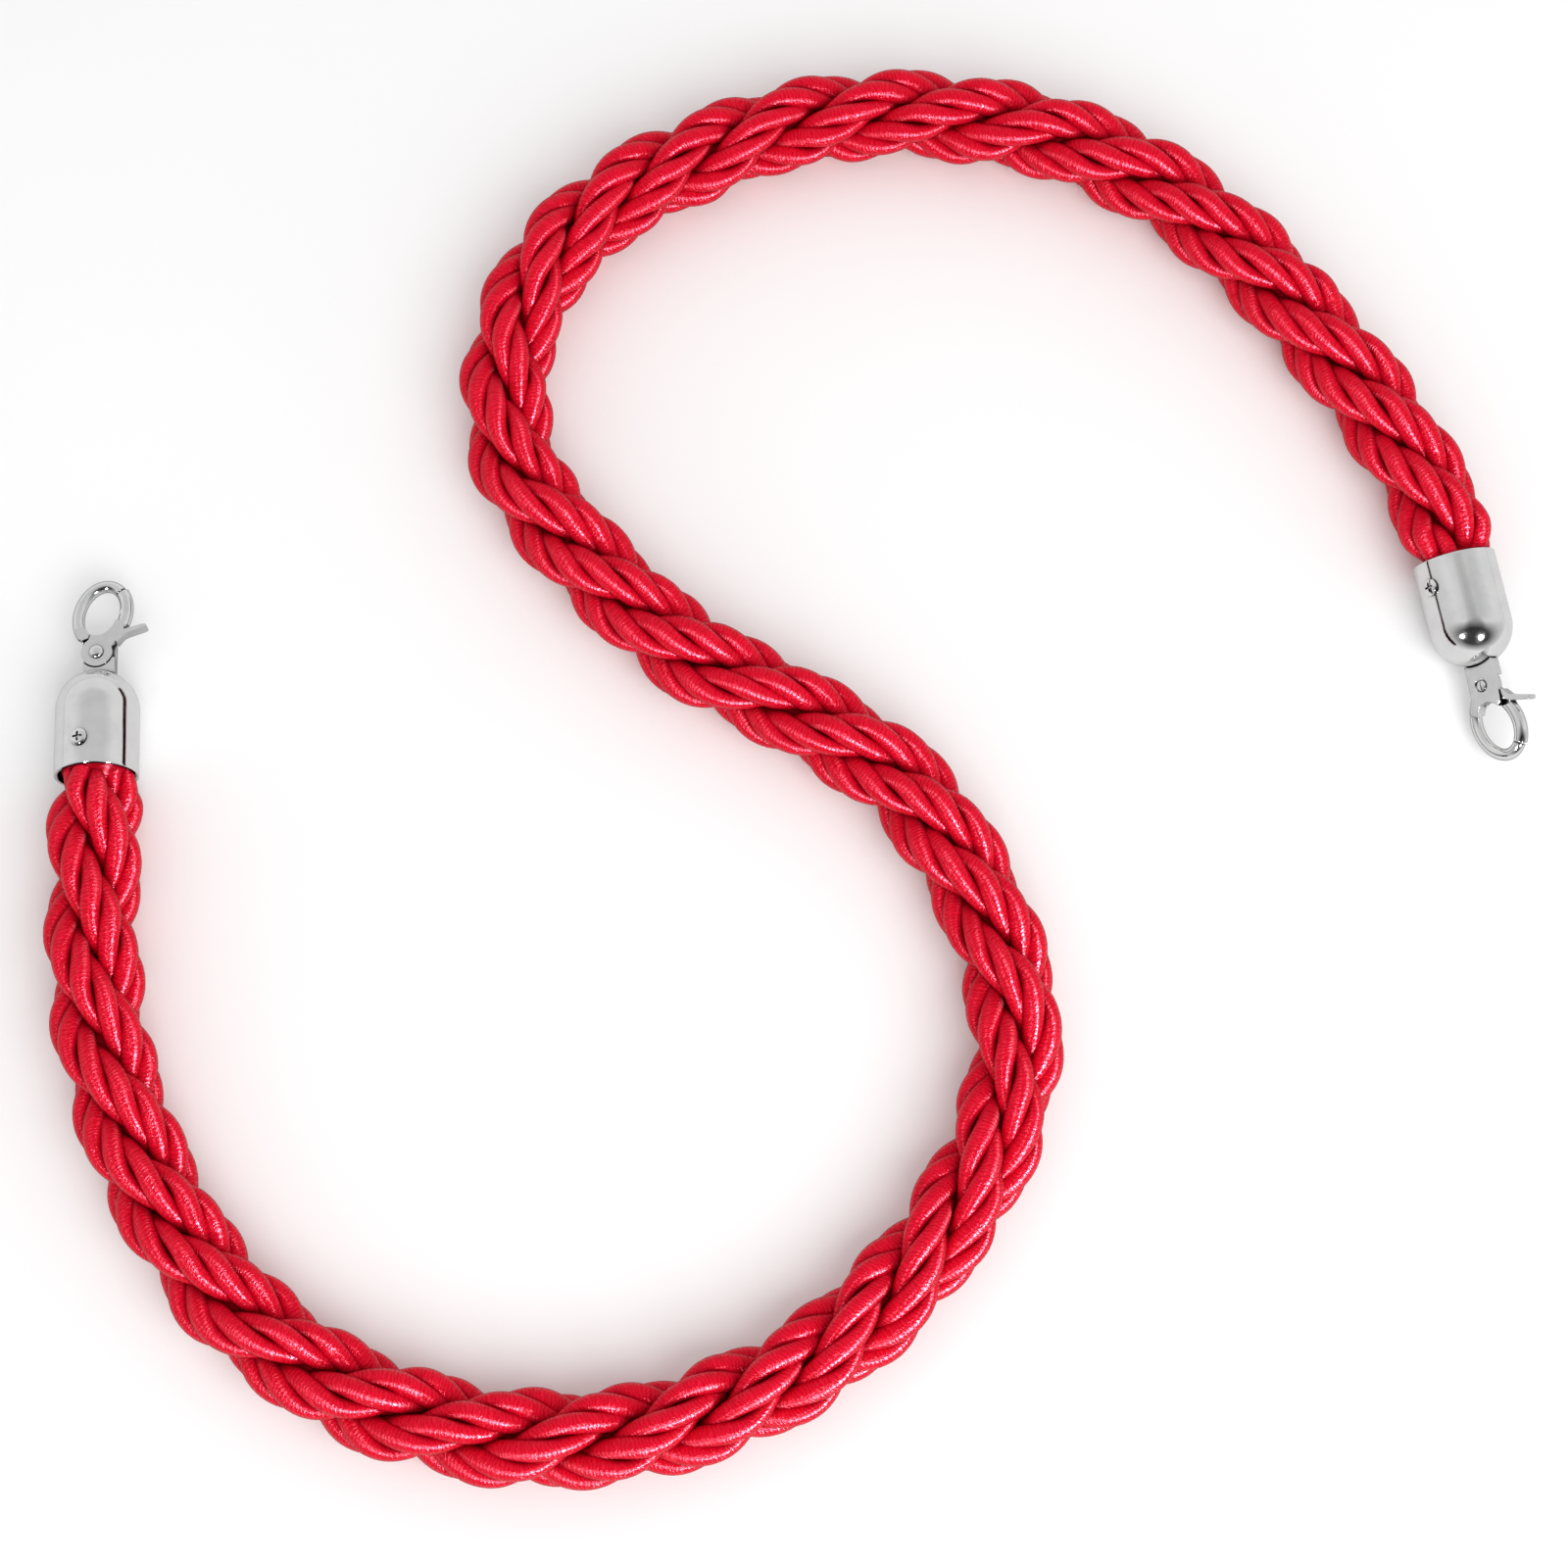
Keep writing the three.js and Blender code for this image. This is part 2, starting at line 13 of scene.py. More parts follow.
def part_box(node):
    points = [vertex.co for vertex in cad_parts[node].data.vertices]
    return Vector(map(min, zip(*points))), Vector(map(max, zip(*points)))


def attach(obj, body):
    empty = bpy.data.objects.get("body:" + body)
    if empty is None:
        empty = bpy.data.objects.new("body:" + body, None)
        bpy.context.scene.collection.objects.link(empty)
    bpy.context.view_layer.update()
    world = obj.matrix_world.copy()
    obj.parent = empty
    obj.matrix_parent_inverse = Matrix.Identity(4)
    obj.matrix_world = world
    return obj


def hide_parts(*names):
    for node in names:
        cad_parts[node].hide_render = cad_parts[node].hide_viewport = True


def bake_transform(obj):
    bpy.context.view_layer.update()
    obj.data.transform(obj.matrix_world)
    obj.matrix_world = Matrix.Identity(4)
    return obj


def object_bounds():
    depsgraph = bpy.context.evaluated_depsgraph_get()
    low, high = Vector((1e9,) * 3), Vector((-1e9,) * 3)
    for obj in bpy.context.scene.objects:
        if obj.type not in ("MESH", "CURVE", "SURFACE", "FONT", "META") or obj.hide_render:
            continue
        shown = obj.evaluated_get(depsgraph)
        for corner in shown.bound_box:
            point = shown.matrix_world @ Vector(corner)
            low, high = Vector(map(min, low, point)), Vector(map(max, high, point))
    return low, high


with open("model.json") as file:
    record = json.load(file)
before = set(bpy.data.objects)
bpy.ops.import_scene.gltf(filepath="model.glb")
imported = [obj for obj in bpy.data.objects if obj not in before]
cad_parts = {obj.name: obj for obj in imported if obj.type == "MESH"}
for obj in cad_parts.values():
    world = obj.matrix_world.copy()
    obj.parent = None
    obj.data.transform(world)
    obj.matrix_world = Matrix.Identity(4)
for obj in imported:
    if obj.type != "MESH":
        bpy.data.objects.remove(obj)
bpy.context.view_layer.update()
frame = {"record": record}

MM = 0.001
UP = np.array([0.0, 0.0, 1.0])
record = frame["record"]
joints = {joint["name"]: joint for joint in record["behaviour"]["joints"]}

# ---- Driving dimensions, in millimetres --------------------------------------------------------

LAY_LENGTH = 106.0            # one turn of a strand round the rope, left-hand
LAY_RADIUS = 9.4              # rope's middle to a strand's middle
MOUTH_LAY_RADIUS = 6.7        # the same inside a ferrule
STRANDS = "abc"
CORDS = 4                     # cords in a strand
CORD_LAY_LENGTH = 38.5        # one turn of a cord round its strand, right-hand, as seen along the rope
CORD_LAY_RADIUS = 4.55        # strand's middle to a cord's middle
CORD_DEPTH = 3.35             # half a cord's thickness, away from its strand's middle
CORD_FLATNESS = 1.13          # a cord's width over its thickness
MOUTH_SIZE = 0.84             # the strands' size inside a ferrule, as a share of their full size
MOUTH_SWELL = 13.0            # length over which the rope swells to its full size
SWELL_STARTS = 2.0            # inside the mouth
ROPE_IN_FERRULE = 22.0
RING_STEP = 1.0               # length of one ring of faces along a cord
CORD_SIDES = 16
CORE_SIDES = 10

# How irregular the rope is: the largest departures, in millimetres, as shares or in radians.
STRAND_STRAYS = 0.45          # a strand's middle, in or out
STRAND_SWELLS = 0.03          # a strand's size
STRAND_TURNS = 0.07           # a strand's place round the rope
CORD_TURNS = 0.10             # a cord's place round its strand
CORD_STRAYS = 0.04            # a cord's distance from its strand's middle
CORD_SWELLS = 0.035           # a cord's thickness
NEXT_STRAND_TURN = 0.9        # how far each strand's cords are turned from those of the strand before

PIVOT_AT = (-0.4, 48.0)       # the lever's pivot in an end's own plane, from the ferrule's mouth
TANG_PIN_AT = (0.5, 34.2)


# ---- Where the CAD puts things -----------------------------------------------------------------

def middle(node):
    low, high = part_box(node)
    return (np.array(low) + np.array(high)) / 2


def end_matrix(side):
    """An end's own axes at its ferrule's mouth: +Y out of the rope, +Z towards the lever's side."""
    lever = joints[f"{side}_lever_open"]
    pivot = np.array(lever["pos_m"])
    z = -np.array(lever["axis"])
    z = z / np.linalg.norm(z)
    reach = pivot - middle(f"{side}_tang_pin")
    dx = (PIVOT_AT[0] - TANG_PIN_AT[0]) * MM
    dy = (PIVOT_AT[1] - TANG_PIN_AT[1]) * MM
    # reach = dx * x + dy * y, where x = y cross z
    turned = np.cross(reach, z)
    y = (dy * reach - dx * turned) / (dx * dx + dy * dy)
    y = y / np.linalg.norm(y)
    x = np.cross(y, z)
    mouth = pivot - x * PIVOT_AT[0] * MM - y * PIVOT_AT[1] * MM
    matrix = Matrix.Identity(4)
    for row in range(3):
        matrix[row][0], matrix[row][1], matrix[row][2], matrix[row][3] = x[row], y[row], z[row], mouth[row]
    return matrix


ends = {side: end_matrix(side) for side in ("left", "right")}


# ---- The rope's middle line --------------------------------------------------------------------

def line_knots():
    """Points that the middle line passes through, left to right, with its direction where it is known."""
    left, right = ends["left"], ends["right"]
    knots = [(np.array(left.translation), -np.array(left.col[1][:3]))]
    rope_joints = [joint for joint in record["behaviour"]["joints"] if "rope_" in joint["name"]]
    for joint in rope_joints:
        place = np.array(joint["pos_m"])
        direction = None
        if "twist" in joint["name"]:
            axis = np.array(joint["axis"])
            direction = axis * np.sign(axis @ (place - knots[-1][0]))
        knots.append((place, direction))
    knots.append((np.array(right.translation), np.array(right.col[1][:3])))
    return knots


def circle_direction(before, here, after):
    """The direction at the middle one of three points, on the circle through them."""
    a, b = here - before, after - here
    la, lb = np.linalg.norm(a), np.linalg.norm(b)
    direction = a / la * lb + b / lb * la
    return direction / np.linalg.norm(direction)


def middle_line():
    """Fine points along the middle line, as cubic curves between the knots, and their distances."""
    knots = line_knots()
    places = [place for place, _ in knots]
    directions = []
    for i, (place, direction) in enumerate(knots):
        if direction is None:
            direction = circle_direction(places[i - 1], place, places[i + 1])
        directions.append(direction / np.linalg.norm(direction))
    t = np.linspace(0, 1, 200, endpoint=False)[:, None]
    points = []
    for p0, p1, d0, d1 in zip(places, places[1:], directions, directions[1:]):
        turn = math.acos(max(-1.0, min(1.0, float(d0 @ d1))))
        pull = np.linalg.norm(p1 - p0) / math.cos(turn / 4) ** 2
        points.append(
            (2 * t**3 - 3 * t**2 + 1) * p0 + (t**3 - 2 * t**2 + t) * pull * d0
            + (3 * t**2 - 2 * t**3) * p1 + (t**3 - t**2) * pull * d1
        )
    points = np.vstack(points + [places[-1][None]])
    steps = np.linalg.norm(np.diff(points, axis=0), axis=1)
    distance = np.concatenate([[0], np.cumsum(steps)]) / MM
    return points, distance, directions[0], directions[-1]


LINE, LINE_DISTANCE, START_DIRECTION, END_DIRECTION = middle_line()
ROPE_LENGTH = float(LINE_DISTANCE[-1])


def line_at(distance):
    """Points of the middle line at distances in millimetres; it runs on straight past its ends."""
    distance = np.asarray(distance, float)
    inside = np.clip(distance, 0, ROPE_LENGTH)
    points = np.stack([np.interp(inside, LINE_DISTANCE, LINE[:, k]) for k in range(3)], axis=-1)
    before = np.minimum(distance, 0)[..., None] * MM
    after = np.maximum(distance - ROPE_LENGTH, 0)[..., None] * MM
    return points + before * START_DIRECTION + after * END_DIRECTION


def line_axes(distance):
    """Unit vectors to the left of the middle line and over it."""
    ahead = line_at(distance + 0.8) - line_at(distance - 0.8)
    ahead /= np.linalg.norm(ahead, axis=-1, keepdims=True)
    left = np.cross(UP, ahead)
    left /= np.linalg.norm(left, axis=-1, keepdims=True)
    return left, np.cross(ahead, left)


def distance_of(place):
    """The distance along the middle line of the point nearest to a place."""
    nearest = np.argmin(np.linalg.norm(LINE - np.array(place), axis=1))
    return float(LINE_DISTANCE[nearest])


# ---- Cords -------------------------------------------------------------------------------------

def smooth(t):
    t = np.clip(t, 0, 1)
    return t * t * (3 - 2 * t)


def wander(distance, seed):
    """A slow, irregular wave between about -1 and 1, different for every seed."""
    waves = ((97.0, 1.0), (61.0, 0.7), (37.0, 0.45))
    total = sum(
        size * np.sin(distance / length * 2 * math.pi + seed * (3.7 + 1.9 * k))
        for k, (length, size) in enumerate(waves)
    )
    return total / sum(size for _, size in waves)


def from_mouth(distance):
    """How far outside the nearer ferrule's mouth a point of the middle line is; less than 0 inside it."""
    return np.minimum(distance, ROPE_LENGTH - distance)


def fullness(distance):
    """1 along the open rope, less near the mouths and inside the ferrules."""
    return smooth((from_mouth(distance) + SWELL_STARTS) / MOUTH_SWELL)


def cord_path(strand, cord, distance):
    """The middle of one cord at each distance, the way out from its strand's middle, and its half
    thickness, in metres."""
    full = fullness(distance)
    seed = 1 + strand * 2.3
    lay_radius = MOUTH_LAY_RADIUS + (LAY_RADIUS - MOUTH_LAY_RADIUS) * full
    lay_radius = lay_radius + STRAND_STRAYS * full * wander(distance, seed)
    size = MOUTH_SIZE + (1 - MOUTH_SIZE) * full
    size = size * (1 + STRAND_SWELLS * full * wander(distance + 40, seed + 5))
    angle = 2 * math.pi * (strand / len(STRANDS) - distance / LAY_LENGTH)
    angle = angle + STRAND_TURNS * full * wander(distance, seed + 9)
    left, over = line_axes(distance)
    outward = left * np.cos(angle)[:, None] + over * np.sin(angle)[:, None]
    around = -left * np.sin(angle)[:, None] + over * np.cos(angle)[:, None]
    # Sections across the rope are wider round it, because a strand slopes.
    slope = np.hypot(1, 2 * math.pi * lay_radius / LAY_LENGTH)
    turn = 2 * math.pi * (cord / CORDS + distance / CORD_LAY_LENGTH) + NEXT_STRAND_TURN * strand
    turn = turn + CORD_TURNS * full * wander(distance, seed + 13 + cord)
    reach = CORD_LAY_RADIUS * size * (1 + CORD_STRAYS * full * wander(distance, seed + 3 * cord))
    strand_middle = line_at(distance) + outward * (lay_radius * MM)[:, None]
    out = outward * (reach * np.cos(turn) * MM)[:, None]
    out = out + around * (reach * slope * np.sin(turn) * MM)[:, None]
    thickness = CORD_DEPTH * size * (1 + CORD_SWELLS * wander(distance * 1.7, seed + 7 * cord)) * MM
    return strand_middle + out, out, thickness


# ---- Meshes ------------------------------------------------------------------------------------

def ring_indices(rings, sides):
    """Which ring and which side each quad of a bar starts at, and its four corners."""
    i, j = np.meshgrid(np.arange(rings - 1), np.arange(sides), indexing="ij")
    i, j = i.reshape(-1), j.reshape(-1)
    k = (j + 1) % sides
    return i, j, np.stack([i * sides + j, i * sides + k, (i + 1) * sides + k, (i + 1) * sides + j], axis=-1)


def bar_rings(points, radii, sides, out=None, flatness=1.0):
    """The vertices of a bar along points, a ring at a time. Its rings start at the underside. A flattened
    bar is thinnest along the out vectors."""
    ahead = np.gradient(points, axis=0)
    ahead /= np.linalg.norm(ahead, axis=1, keepdims=True)
    side = np.cross(ahead, UP)
    side /= np.linalg.norm(side, axis=1, keepdims=True)
    over = np.cross(side, ahead)
    turn = np.linspace(0, 2 * math.pi, sides, endpoint=False)
    ring = -np.cos(turn)[None, :, None] * over[:, None, :] + np.sin(turn)[None, :, None] * side[:, None, :]
    reach = np.repeat(radii[:, None], sides, axis=1)
    if out is not None:
        out = out - (out * ahead).sum(axis=1, keepdims=True) * ahead
        out = out / np.linalg.norm(out, axis=1, keepdims=True)
        across = np.cross(ahead, out)
        thick = (ring * out[:, None, :]).sum(axis=2)
        wide = (ring * across[:, None, :]).sum(axis=2) / flatness
        reach = reach / np.hypot(thick, wide)
    return points[:, None, :] + ring * reach[:, :, None]


def bars_mesh(name, bars, distance):
    """One mesh of several closed bars, given as (rings of vertices, how deep each lies between cords, which
    sets its painted shade, material index). U is the distance along the rope in millimetres, V goes once
    round the bar."""
    vertices, faces, uvs, slots, flats, shade_values = [], [], [], [], [], []
    base = 0
    for ring_vertices, ring_shades, slot in bars:
        shade_values.append(ring_shades.ravel())
        rings, sides, _ = ring_vertices.shape
        i, j, quads = ring_indices(rings, sides)
        corner_ring = np.stack([i, i, i + 1, i + 1], axis=-1)
        corner_side = np.stack([j, j + 1, j + 1, j], axis=-1)
        uvs.append(np.stack([distance[corner_ring], corner_side / sides], axis=-1).reshape(-1, 2))
        uvs += [[(distance[at], 0.5)] * sides for at in (0, -1)]
        vertices.append(ring_vertices.reshape(-1, 3))
        faces += (quads + base).tolist()
        faces.append(list(range(base, base + sides))[::-1])
        faces.append(list(range(base + (rings - 1) * sides, base + rings * sides)))
        slots += [slot] * (len(quads) + 2)
        flats += [False] * len(quads) + [True, True]
        base += rings * sides
    mesh = bpy.data.meshes.new(name)
    mesh.from_pydata(np.vstack(vertices), [], faces)
    mesh.uv_layers.new(name="UVMap").data.foreach_set("uv", np.vstack(uvs).astype(np.float32).ravel())
    # Painted shade per vertex: darker down between cords and between strands.
    mesh.attributes.new("crease", "FLOAT", "POINT").data.foreach_set("value", np.concatenate(shade_values))
    mesh.polygons.foreach_set("material_index", slots)
    smooth_with_flat_ends(mesh, flats)
    return mesh


def smooth_with_flat_ends(mesh, flats):
    """Smooth shading along the bars, with a sharp edge where a bar is cut off."""
    mesh.polygons.foreach_set("use_smooth", [True] * len(mesh.polygons))
    sharp = set()
    for polygon, flat in zip(mesh.polygons, flats):
        if flat:
            sharp.update(polygon.edge_keys)
    attribute = mesh.attributes.new("sharp_edge", "BOOLEAN", "EDGE")
    attribute.data.foreach_set("value", [tuple(sorted(edge.vertices)) in sharp for edge in mesh.edges])
    mesh.update()


def add_object(name, mesh, *materials):
    piece = bpy.data.objects.new(name, mesh)
    bpy.context.scene.collection.objects.link(piece)
    for material in materials:
        mesh.materials.append(material)
    return piece


# ---- The rope's pieces -------------------------------------------------------------------------

CORE_RADIUS = 4.4             # filling in the middle of a strand, drawn dark as painted shade deep inside the rope
HEART_RADIUS = 3.4            # filling in the middle of the rope
PLUG_RADIUS = 12.6            # of the same filling inside a ferrule, where it closes the mouth
PLUG_TAPER = 9.0              # length over which the plug narrows outside
PLUG_SHADE = 0.6              # how much painted shade it gets, from 0 for a proud cord to 1
# Creases are painted darkest, as shade, up to the first distance, and the painted shade ends at the second
# one.
CORD_CREASE_SHADE = (3.8, 6.8)      # between cords, from their strand's middle
STRAND_CREASE_SHADE = (6.6, 11.1)   # between strands, from the rope's middle


def painted_crease_shade(rings, strand_middle, rope_middle, size):
    """Painted shade: 0 where a cord stands proud, up to 1 down between cords and between strands."""
    depths = []
    for centre, (darkest, end) in ((strand_middle, CORD_CREASE_SHADE), (rope_middle, STRAND_CREASE_SHADE)):
        from_centre = np.linalg.norm(rings - centre[:, None], axis=2) / (size[:, None] * MM)
        depths.append(smooth((end - from_centre) / (end - darkest)))
    return np.maximum(*depths)


def rope_piece(strand, number, start, end, materials):
    """One strand of the rope from one distance to another. Strand a has the rope's heart with it."""
    distance = np.linspace(start, end, int(round((end - start) / RING_STEP)) + 1)
    step = distance[1] - distance[0]
    # One more ring beyond each end, dropped again, gives neighbours the same last ring.
    padded = np.concatenate([[start - step], distance, [end + step]])
    squeeze = MOUTH_SIZE + (1 - MOUTH_SIZE) * fullness(padded)
    bars = []
    paths = [cord_path(strand, cord, padded) for cord in range(CORDS)]
    strand_middle = sum(points - out for points, out, _ in paths) / CORDS
    for points, out, thickness in paths:
        rings = bar_rings(points, thickness, CORD_SIDES, out, CORD_FLATNESS)
        bars.append((rings[1:-1], painted_crease_shade(rings, strand_middle, line_at(padded), squeeze)[1:-1], 0))
    # The strand's core is drawn in full painted shade.
    rings = bar_rings(strand_middle, CORE_RADIUS * squeeze * MM, CORE_SIDES)[1:-1]
    bars.append((rings, np.ones(rings.shape[:2]), 1))
    if strand == 0:
        # The rope's heart and the plug get PLUG_SHADE of painted shade.
        packed = 1 - smooth((from_mouth(padded) + SWELL_STARTS) / PLUG_TAPER)
        radius = HEART_RADIUS + (PLUG_RADIUS - HEART_RADIUS) * packed
        rings = bar_rings(line_at(padded), radius * MM, CORD_SIDES)[1:-1]
        bars.append((rings, np.full(rings.shape[:2], PLUG_SHADE), 0))
    name = f"rope_strand_{STRANDS[strand]}_{number:02d}"
    return add_object(name, bars_mesh(name, bars, distance), *materials)


def rope_bodies():
    """The rope's bodies from left to right, with the distance of the joint after each."""
    bends = sorted(name for name in joints if name.startswith("rope_bend"))
    names = ["left_end"] + [f"rope_{number:02d}" for number in range(2, len(bends) + 3)] + ["right_end"]
    order = ["left_rope_twist"] + bends + ["right_rope_twist"]
    return names, [distance_of(joints[name]["pos_m"]) for name in order]


def make_rope(materials):
    """Each piece runs from the middle of one body to the middle of the next, across the joint between them.
    """
    bodies, at = rope_bodies()
    halfway = [(a + b) / 2 for a, b in zip(at, at[1:])]
    edges = [-ROPE_IN_FERRULE] + halfway + [ROPE_LENGTH + ROPE_IN_FERRULE]
    pieces = []
    for number, (start, end) in enumerate(zip(edges, edges[1:]), 1):
        for strand, letter in enumerate(STRANDS):
            piece = rope_piece(strand, number, start, end, materials)
            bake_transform(piece)
            nodes = [f"strand_{letter}_{number:02d}"]
            if number == len(bodies) - 1:
                nodes.append(f"strand_{letter}_{number + 1:02d}")
            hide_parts(*nodes)
            pieces.append(piece)
    return pieces


# ---- Solids for the fittings, in an end's own millimetres ----------------------------------------

FERRULE_RADIUS = 15.0
FERRULE_WALL = 1.4
FERRULE_STRAIGHT = 25.5
RIM_ROUNDING = 0.35
FERRULE_SIDES = 128

SCREW_FROM_MOUTH = 10.0
SCREW_ANGLE = {"left": -12.5, "right": 189.0}
SCREW_HEAD_RADIUS = 3.1
SCREW_HEAD_HEIGHT = 1.1
SCREW_RADIUS = 1.5
SCREW_LENGTH = 9.0
SCREW_THREADS = 12
SCREW_THREAD_PITCH = 0.55
SCREW_THREAD_DEPTH = 0.18
SCREW_CROSS_DEPTH = 0.75
SCREW_CROSS_HALF_WIDTH = 0.42

HALF_THICKNESS = 2.5          # of the hook
HALF_LAP = 0.15               # half the gap between the hook body's plate and the lever
NECK_LEFT, NECK_RIGHT = -5.3, 6.3
NECK_TOP = 45.5
TANG_INSET = 1.0              # the tang is this much narrower than the neck, on each side
TANG_HALF_THICKNESS = 2.2
TANG_FOOT = 31.5
TANG_PIN_RADIUS = 1.5
TANG_PIN_HALF_LENGTH = 8.4
LEVER_DISC_RADIUS = 5.7
LEVER_RECESS_RADIUS = 6.2
RIVET_RADIUS = 1.4
RIVET_HEAD_RADIUS = 2.5
SPRING_RADIUS = 2.5
SPRING_WIRE = 0.6
SPRING_TURNS = 3
POCKET_RADIUS = 3.4
POCKET_DEPTH = 1.7

EYE_CENTRE = np.array([0.95, 63.5])
EYE_HALF_LENGTH = 9.25
EYE_HALF_WIDTH = 6.1
EYE_LEAN = math.radians(17)
BODY_ARM_RADIUS = 2.25
LEVER_ARM_RADIUS = 2.5
SLIT_ANGLE = 30.0             # where the two tips meet, clockwise from the eye's long axis
SLIT_HALF_ANGLE = 1.9
CLEARANCE = 0.3

CAST_VOXEL = 0.13
CAST_ROUNDING = 4


def temporary(mesh_data):
    mesh = bpy.data.meshes.new("solid")
    mesh.from_pydata(*mesh_data)
    piece = add_object("solid", mesh)
    shape = bmesh.new()
    shape.from_mesh(mesh)
    bmesh.ops.recalc_face_normals(shape, faces=shape.faces)
    shape.to_mesh(mesh)
    shape.free()
    return piece


def lathe(outline, sides, axis="Z"):
    """A solid turned from (radius, height) points that start and end on the axis, or form a closed ring."""
    turn = np.linspace(0, 2 * math.pi, sides, endpoint=False)
    vertices, rows = [], []
    for radius, height in outline:
        if radius < 1e-6:
            rows.append([len(vertices)])
            vertices.append((0.0, 0.0, height))
        else:
            rows.append(list(range(len(vertices), len(vertices) + sides)))
            vertices += [(radius * math.cos(a), radius * math.sin(a), height) for a in turn]
    faces = []
    for low, high in zip(rows, rows[1:]):
        for j in range(sides):
            k = (j + 1) % sides
            corners = [low[j % len(low)], low[k % len(low)], high[k % len(high)], high[j % len(high)]]
            faces.append(list(dict.fromkeys(corners)))
    if axis == "Y":
        vertices = [(y, z, x) for x, y, z in vertices]
    return temporary((vertices, [], faces))


def rounded(corners, passes=3):
    """The outline with its corners cut again and again, which rounds them."""
    points = np.array(corners, float)
    cut_off = 0.15            # of each side, at both of its ends
    for _ in range(passes):
        step = (np.roll(points, -1, axis=0) - points) * cut_off
        points = np.stack([points + step, np.roll(points, -1, axis=0) - step], axis=1).reshape(-1, 2)
    return points


def plate(corners, z0, z1, passes=3):
    points = rounded(corners, passes) if passes else np.array(corners, float)
    count = len(points)
    vertices = [(x, y, z0) for x, y in points] + [(x, y, z1) for x, y in points]
    faces = [list(range(count)), list(range(count, 2 * count))]
    faces += [[j, (j + 1) % count, count + (j + 1) % count, count + j] for j in range(count)]
    return temporary((vertices, [], faces))


def block(x0, x1, y0, y1, z0, z1):
    return plate([(x0, y0), (x1, y0), (x1, y1), (x0, y1)], z0, z1, passes=0)


def barrel(centre, radius, z0, z1, sides=64):
    turn = np.linspace(0, 2 * math.pi, sides, endpoint=False)
    circle = [(centre[0] + radius * math.cos(a), centre[1] + radius * math.sin(a)) for a in turn]
    return plate(circle, z0, z1, 0)


def ball(centre, radius):
    steps = np.linspace(-math.pi / 2, math.pi / 2, 49)
    outline = [(0 if abs(a) > 1.57 else radius * math.cos(a), radius * math.sin(a)) for a in steps]
    solid = lathe(outline, 96)
    solid.data.transform(Matrix.Translation(centre))
    return solid


def moved(solid, at):
    """The same solid, moved in its end's plane."""
    solid.data.transform(Matrix.Translation((*at, 0)))
    return solid


def round_eye(margin, degrees):
    """Points on an oval round the eye, at angles clockwise from the eye's long axis."""
    angle = np.radians(degrees)
    along = (EYE_HALF_LENGTH + margin) * np.cos(angle)
    across = (EYE_HALF_WIDTH + margin) * np.sin(angle)
    x = EYE_CENTRE[0] + along * math.sin(EYE_LEAN) + across * math.cos(EYE_LEAN)
    y = EYE_CENTRE[1] + along * math.cos(EYE_LEAN) - across * math.sin(EYE_LEAN)
    return np.stack([x, y], axis=-1)


def eye_hole():
    return plate(round_eye(0, np.arange(0, 360, 4)), -2 * HALF_THICKNESS, 2 * HALF_THICKNESS, passes=0)


def closed_bar(points, radius, sides):
    """A round bar along points, closed at both ends."""
    vertices = bar_rings(points, np.full(len(points), radius), sides).reshape(-1, 3)
    _, _, quads = ring_indices(len(points), sides)
    last_ring = (len(points) - 1) * sides
    caps = [list(range(sides)), list(range(last_ring, last_ring + sides))]
    return temporary((vertices, [], quads.tolist() + caps))


def arm(radius, first, last):
    """A round arm along part of the oval."""
    degrees = np.linspace(first, last, int(abs(last - first) / 2) + 2)
    return closed_bar(np.column_stack([round_eye(radius, degrees), np.zeros(len(degrees))]), radius, 40)


def bake_modifiers(piece):
    graph = bpy.context.evaluated_depsgraph_get()
    mesh = bpy.data.meshes.new_from_object(piece.evaluated_get(graph))
    old = piece.data
    piece.modifiers.clear()
    piece.data = mesh
    bpy.data.meshes.remove(old)


def remove(solids):
    for solid in solids:
        mesh = solid.data
        bpy.data.objects.remove(solid)
        bpy.data.meshes.remove(mesh)


def cut(solid, cutters):
    for cutter in cutters:
        modifier = solid.modifiers.new("cut", "BOOLEAN")
        modifier.operation = "DIFFERENCE"
        modifier.solver = "EXACT"
        modifier.object = cutter
    bake_modifiers(solid)
    return solid


def merge_cast(solids, name):
    """One casting from solids that overlap: melted together and its edges rounded."""
    shape = bmesh.new()
    for solid in solids:
        shape.from_mesh(solid.data)
    mesh = bpy.data.meshes.new(name)
    shape.to_mesh(mesh)
    shape.free()
    remove(solids)
    piece = add_object(name, mesh)
    melt = piece.modifiers.new("melt", "REMESH")
    melt.mode = "VOXEL"
    melt.voxel_size = CAST_VOXEL
    melt.use_smooth_shade = True
    soften = piece.modifiers.new("soften", "SMOOTH")
    soften.factor = 0.5
    soften.iterations = CAST_ROUNDING
    bake_modifiers(piece)
    return piece


def place_on_end(piece, side, body, material, node, smooth_angle=None):
    """Moves a piece from its end's own millimetres to the row frame, and ties it to its body."""
    mesh = piece.data
    mesh.transform(ends[side] @ Matrix.Scale(MM, 4))
    piece.name = mesh.name = f"{side}_{node}_look"
    mesh.polygons.foreach_set("use_smooth", [True] * len(mesh.polygons))
    if smooth_angle is not None:
        mesh.set_sharp_from_angle(angle=math.radians(smooth_angle))
    mesh.materials.clear()
    mesh.materials.append(material)
    mesh.update()
    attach(piece, body)
    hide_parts(f"{side}_{node}")


# ---- Ferrule and screw -------------------------------------------------------------------------

def screw_tool(solid, side):
    """Turns a solid made along +Z to the screw's place round the ferrule."""
    turn = Matrix.Rotation(math.radians(SCREW_ANGLE[side]), 4, "Y")
    solid.data.transform(Matrix.Translation((0, SCREW_FROM_MOUTH, 0)) @ turn)
    return solid


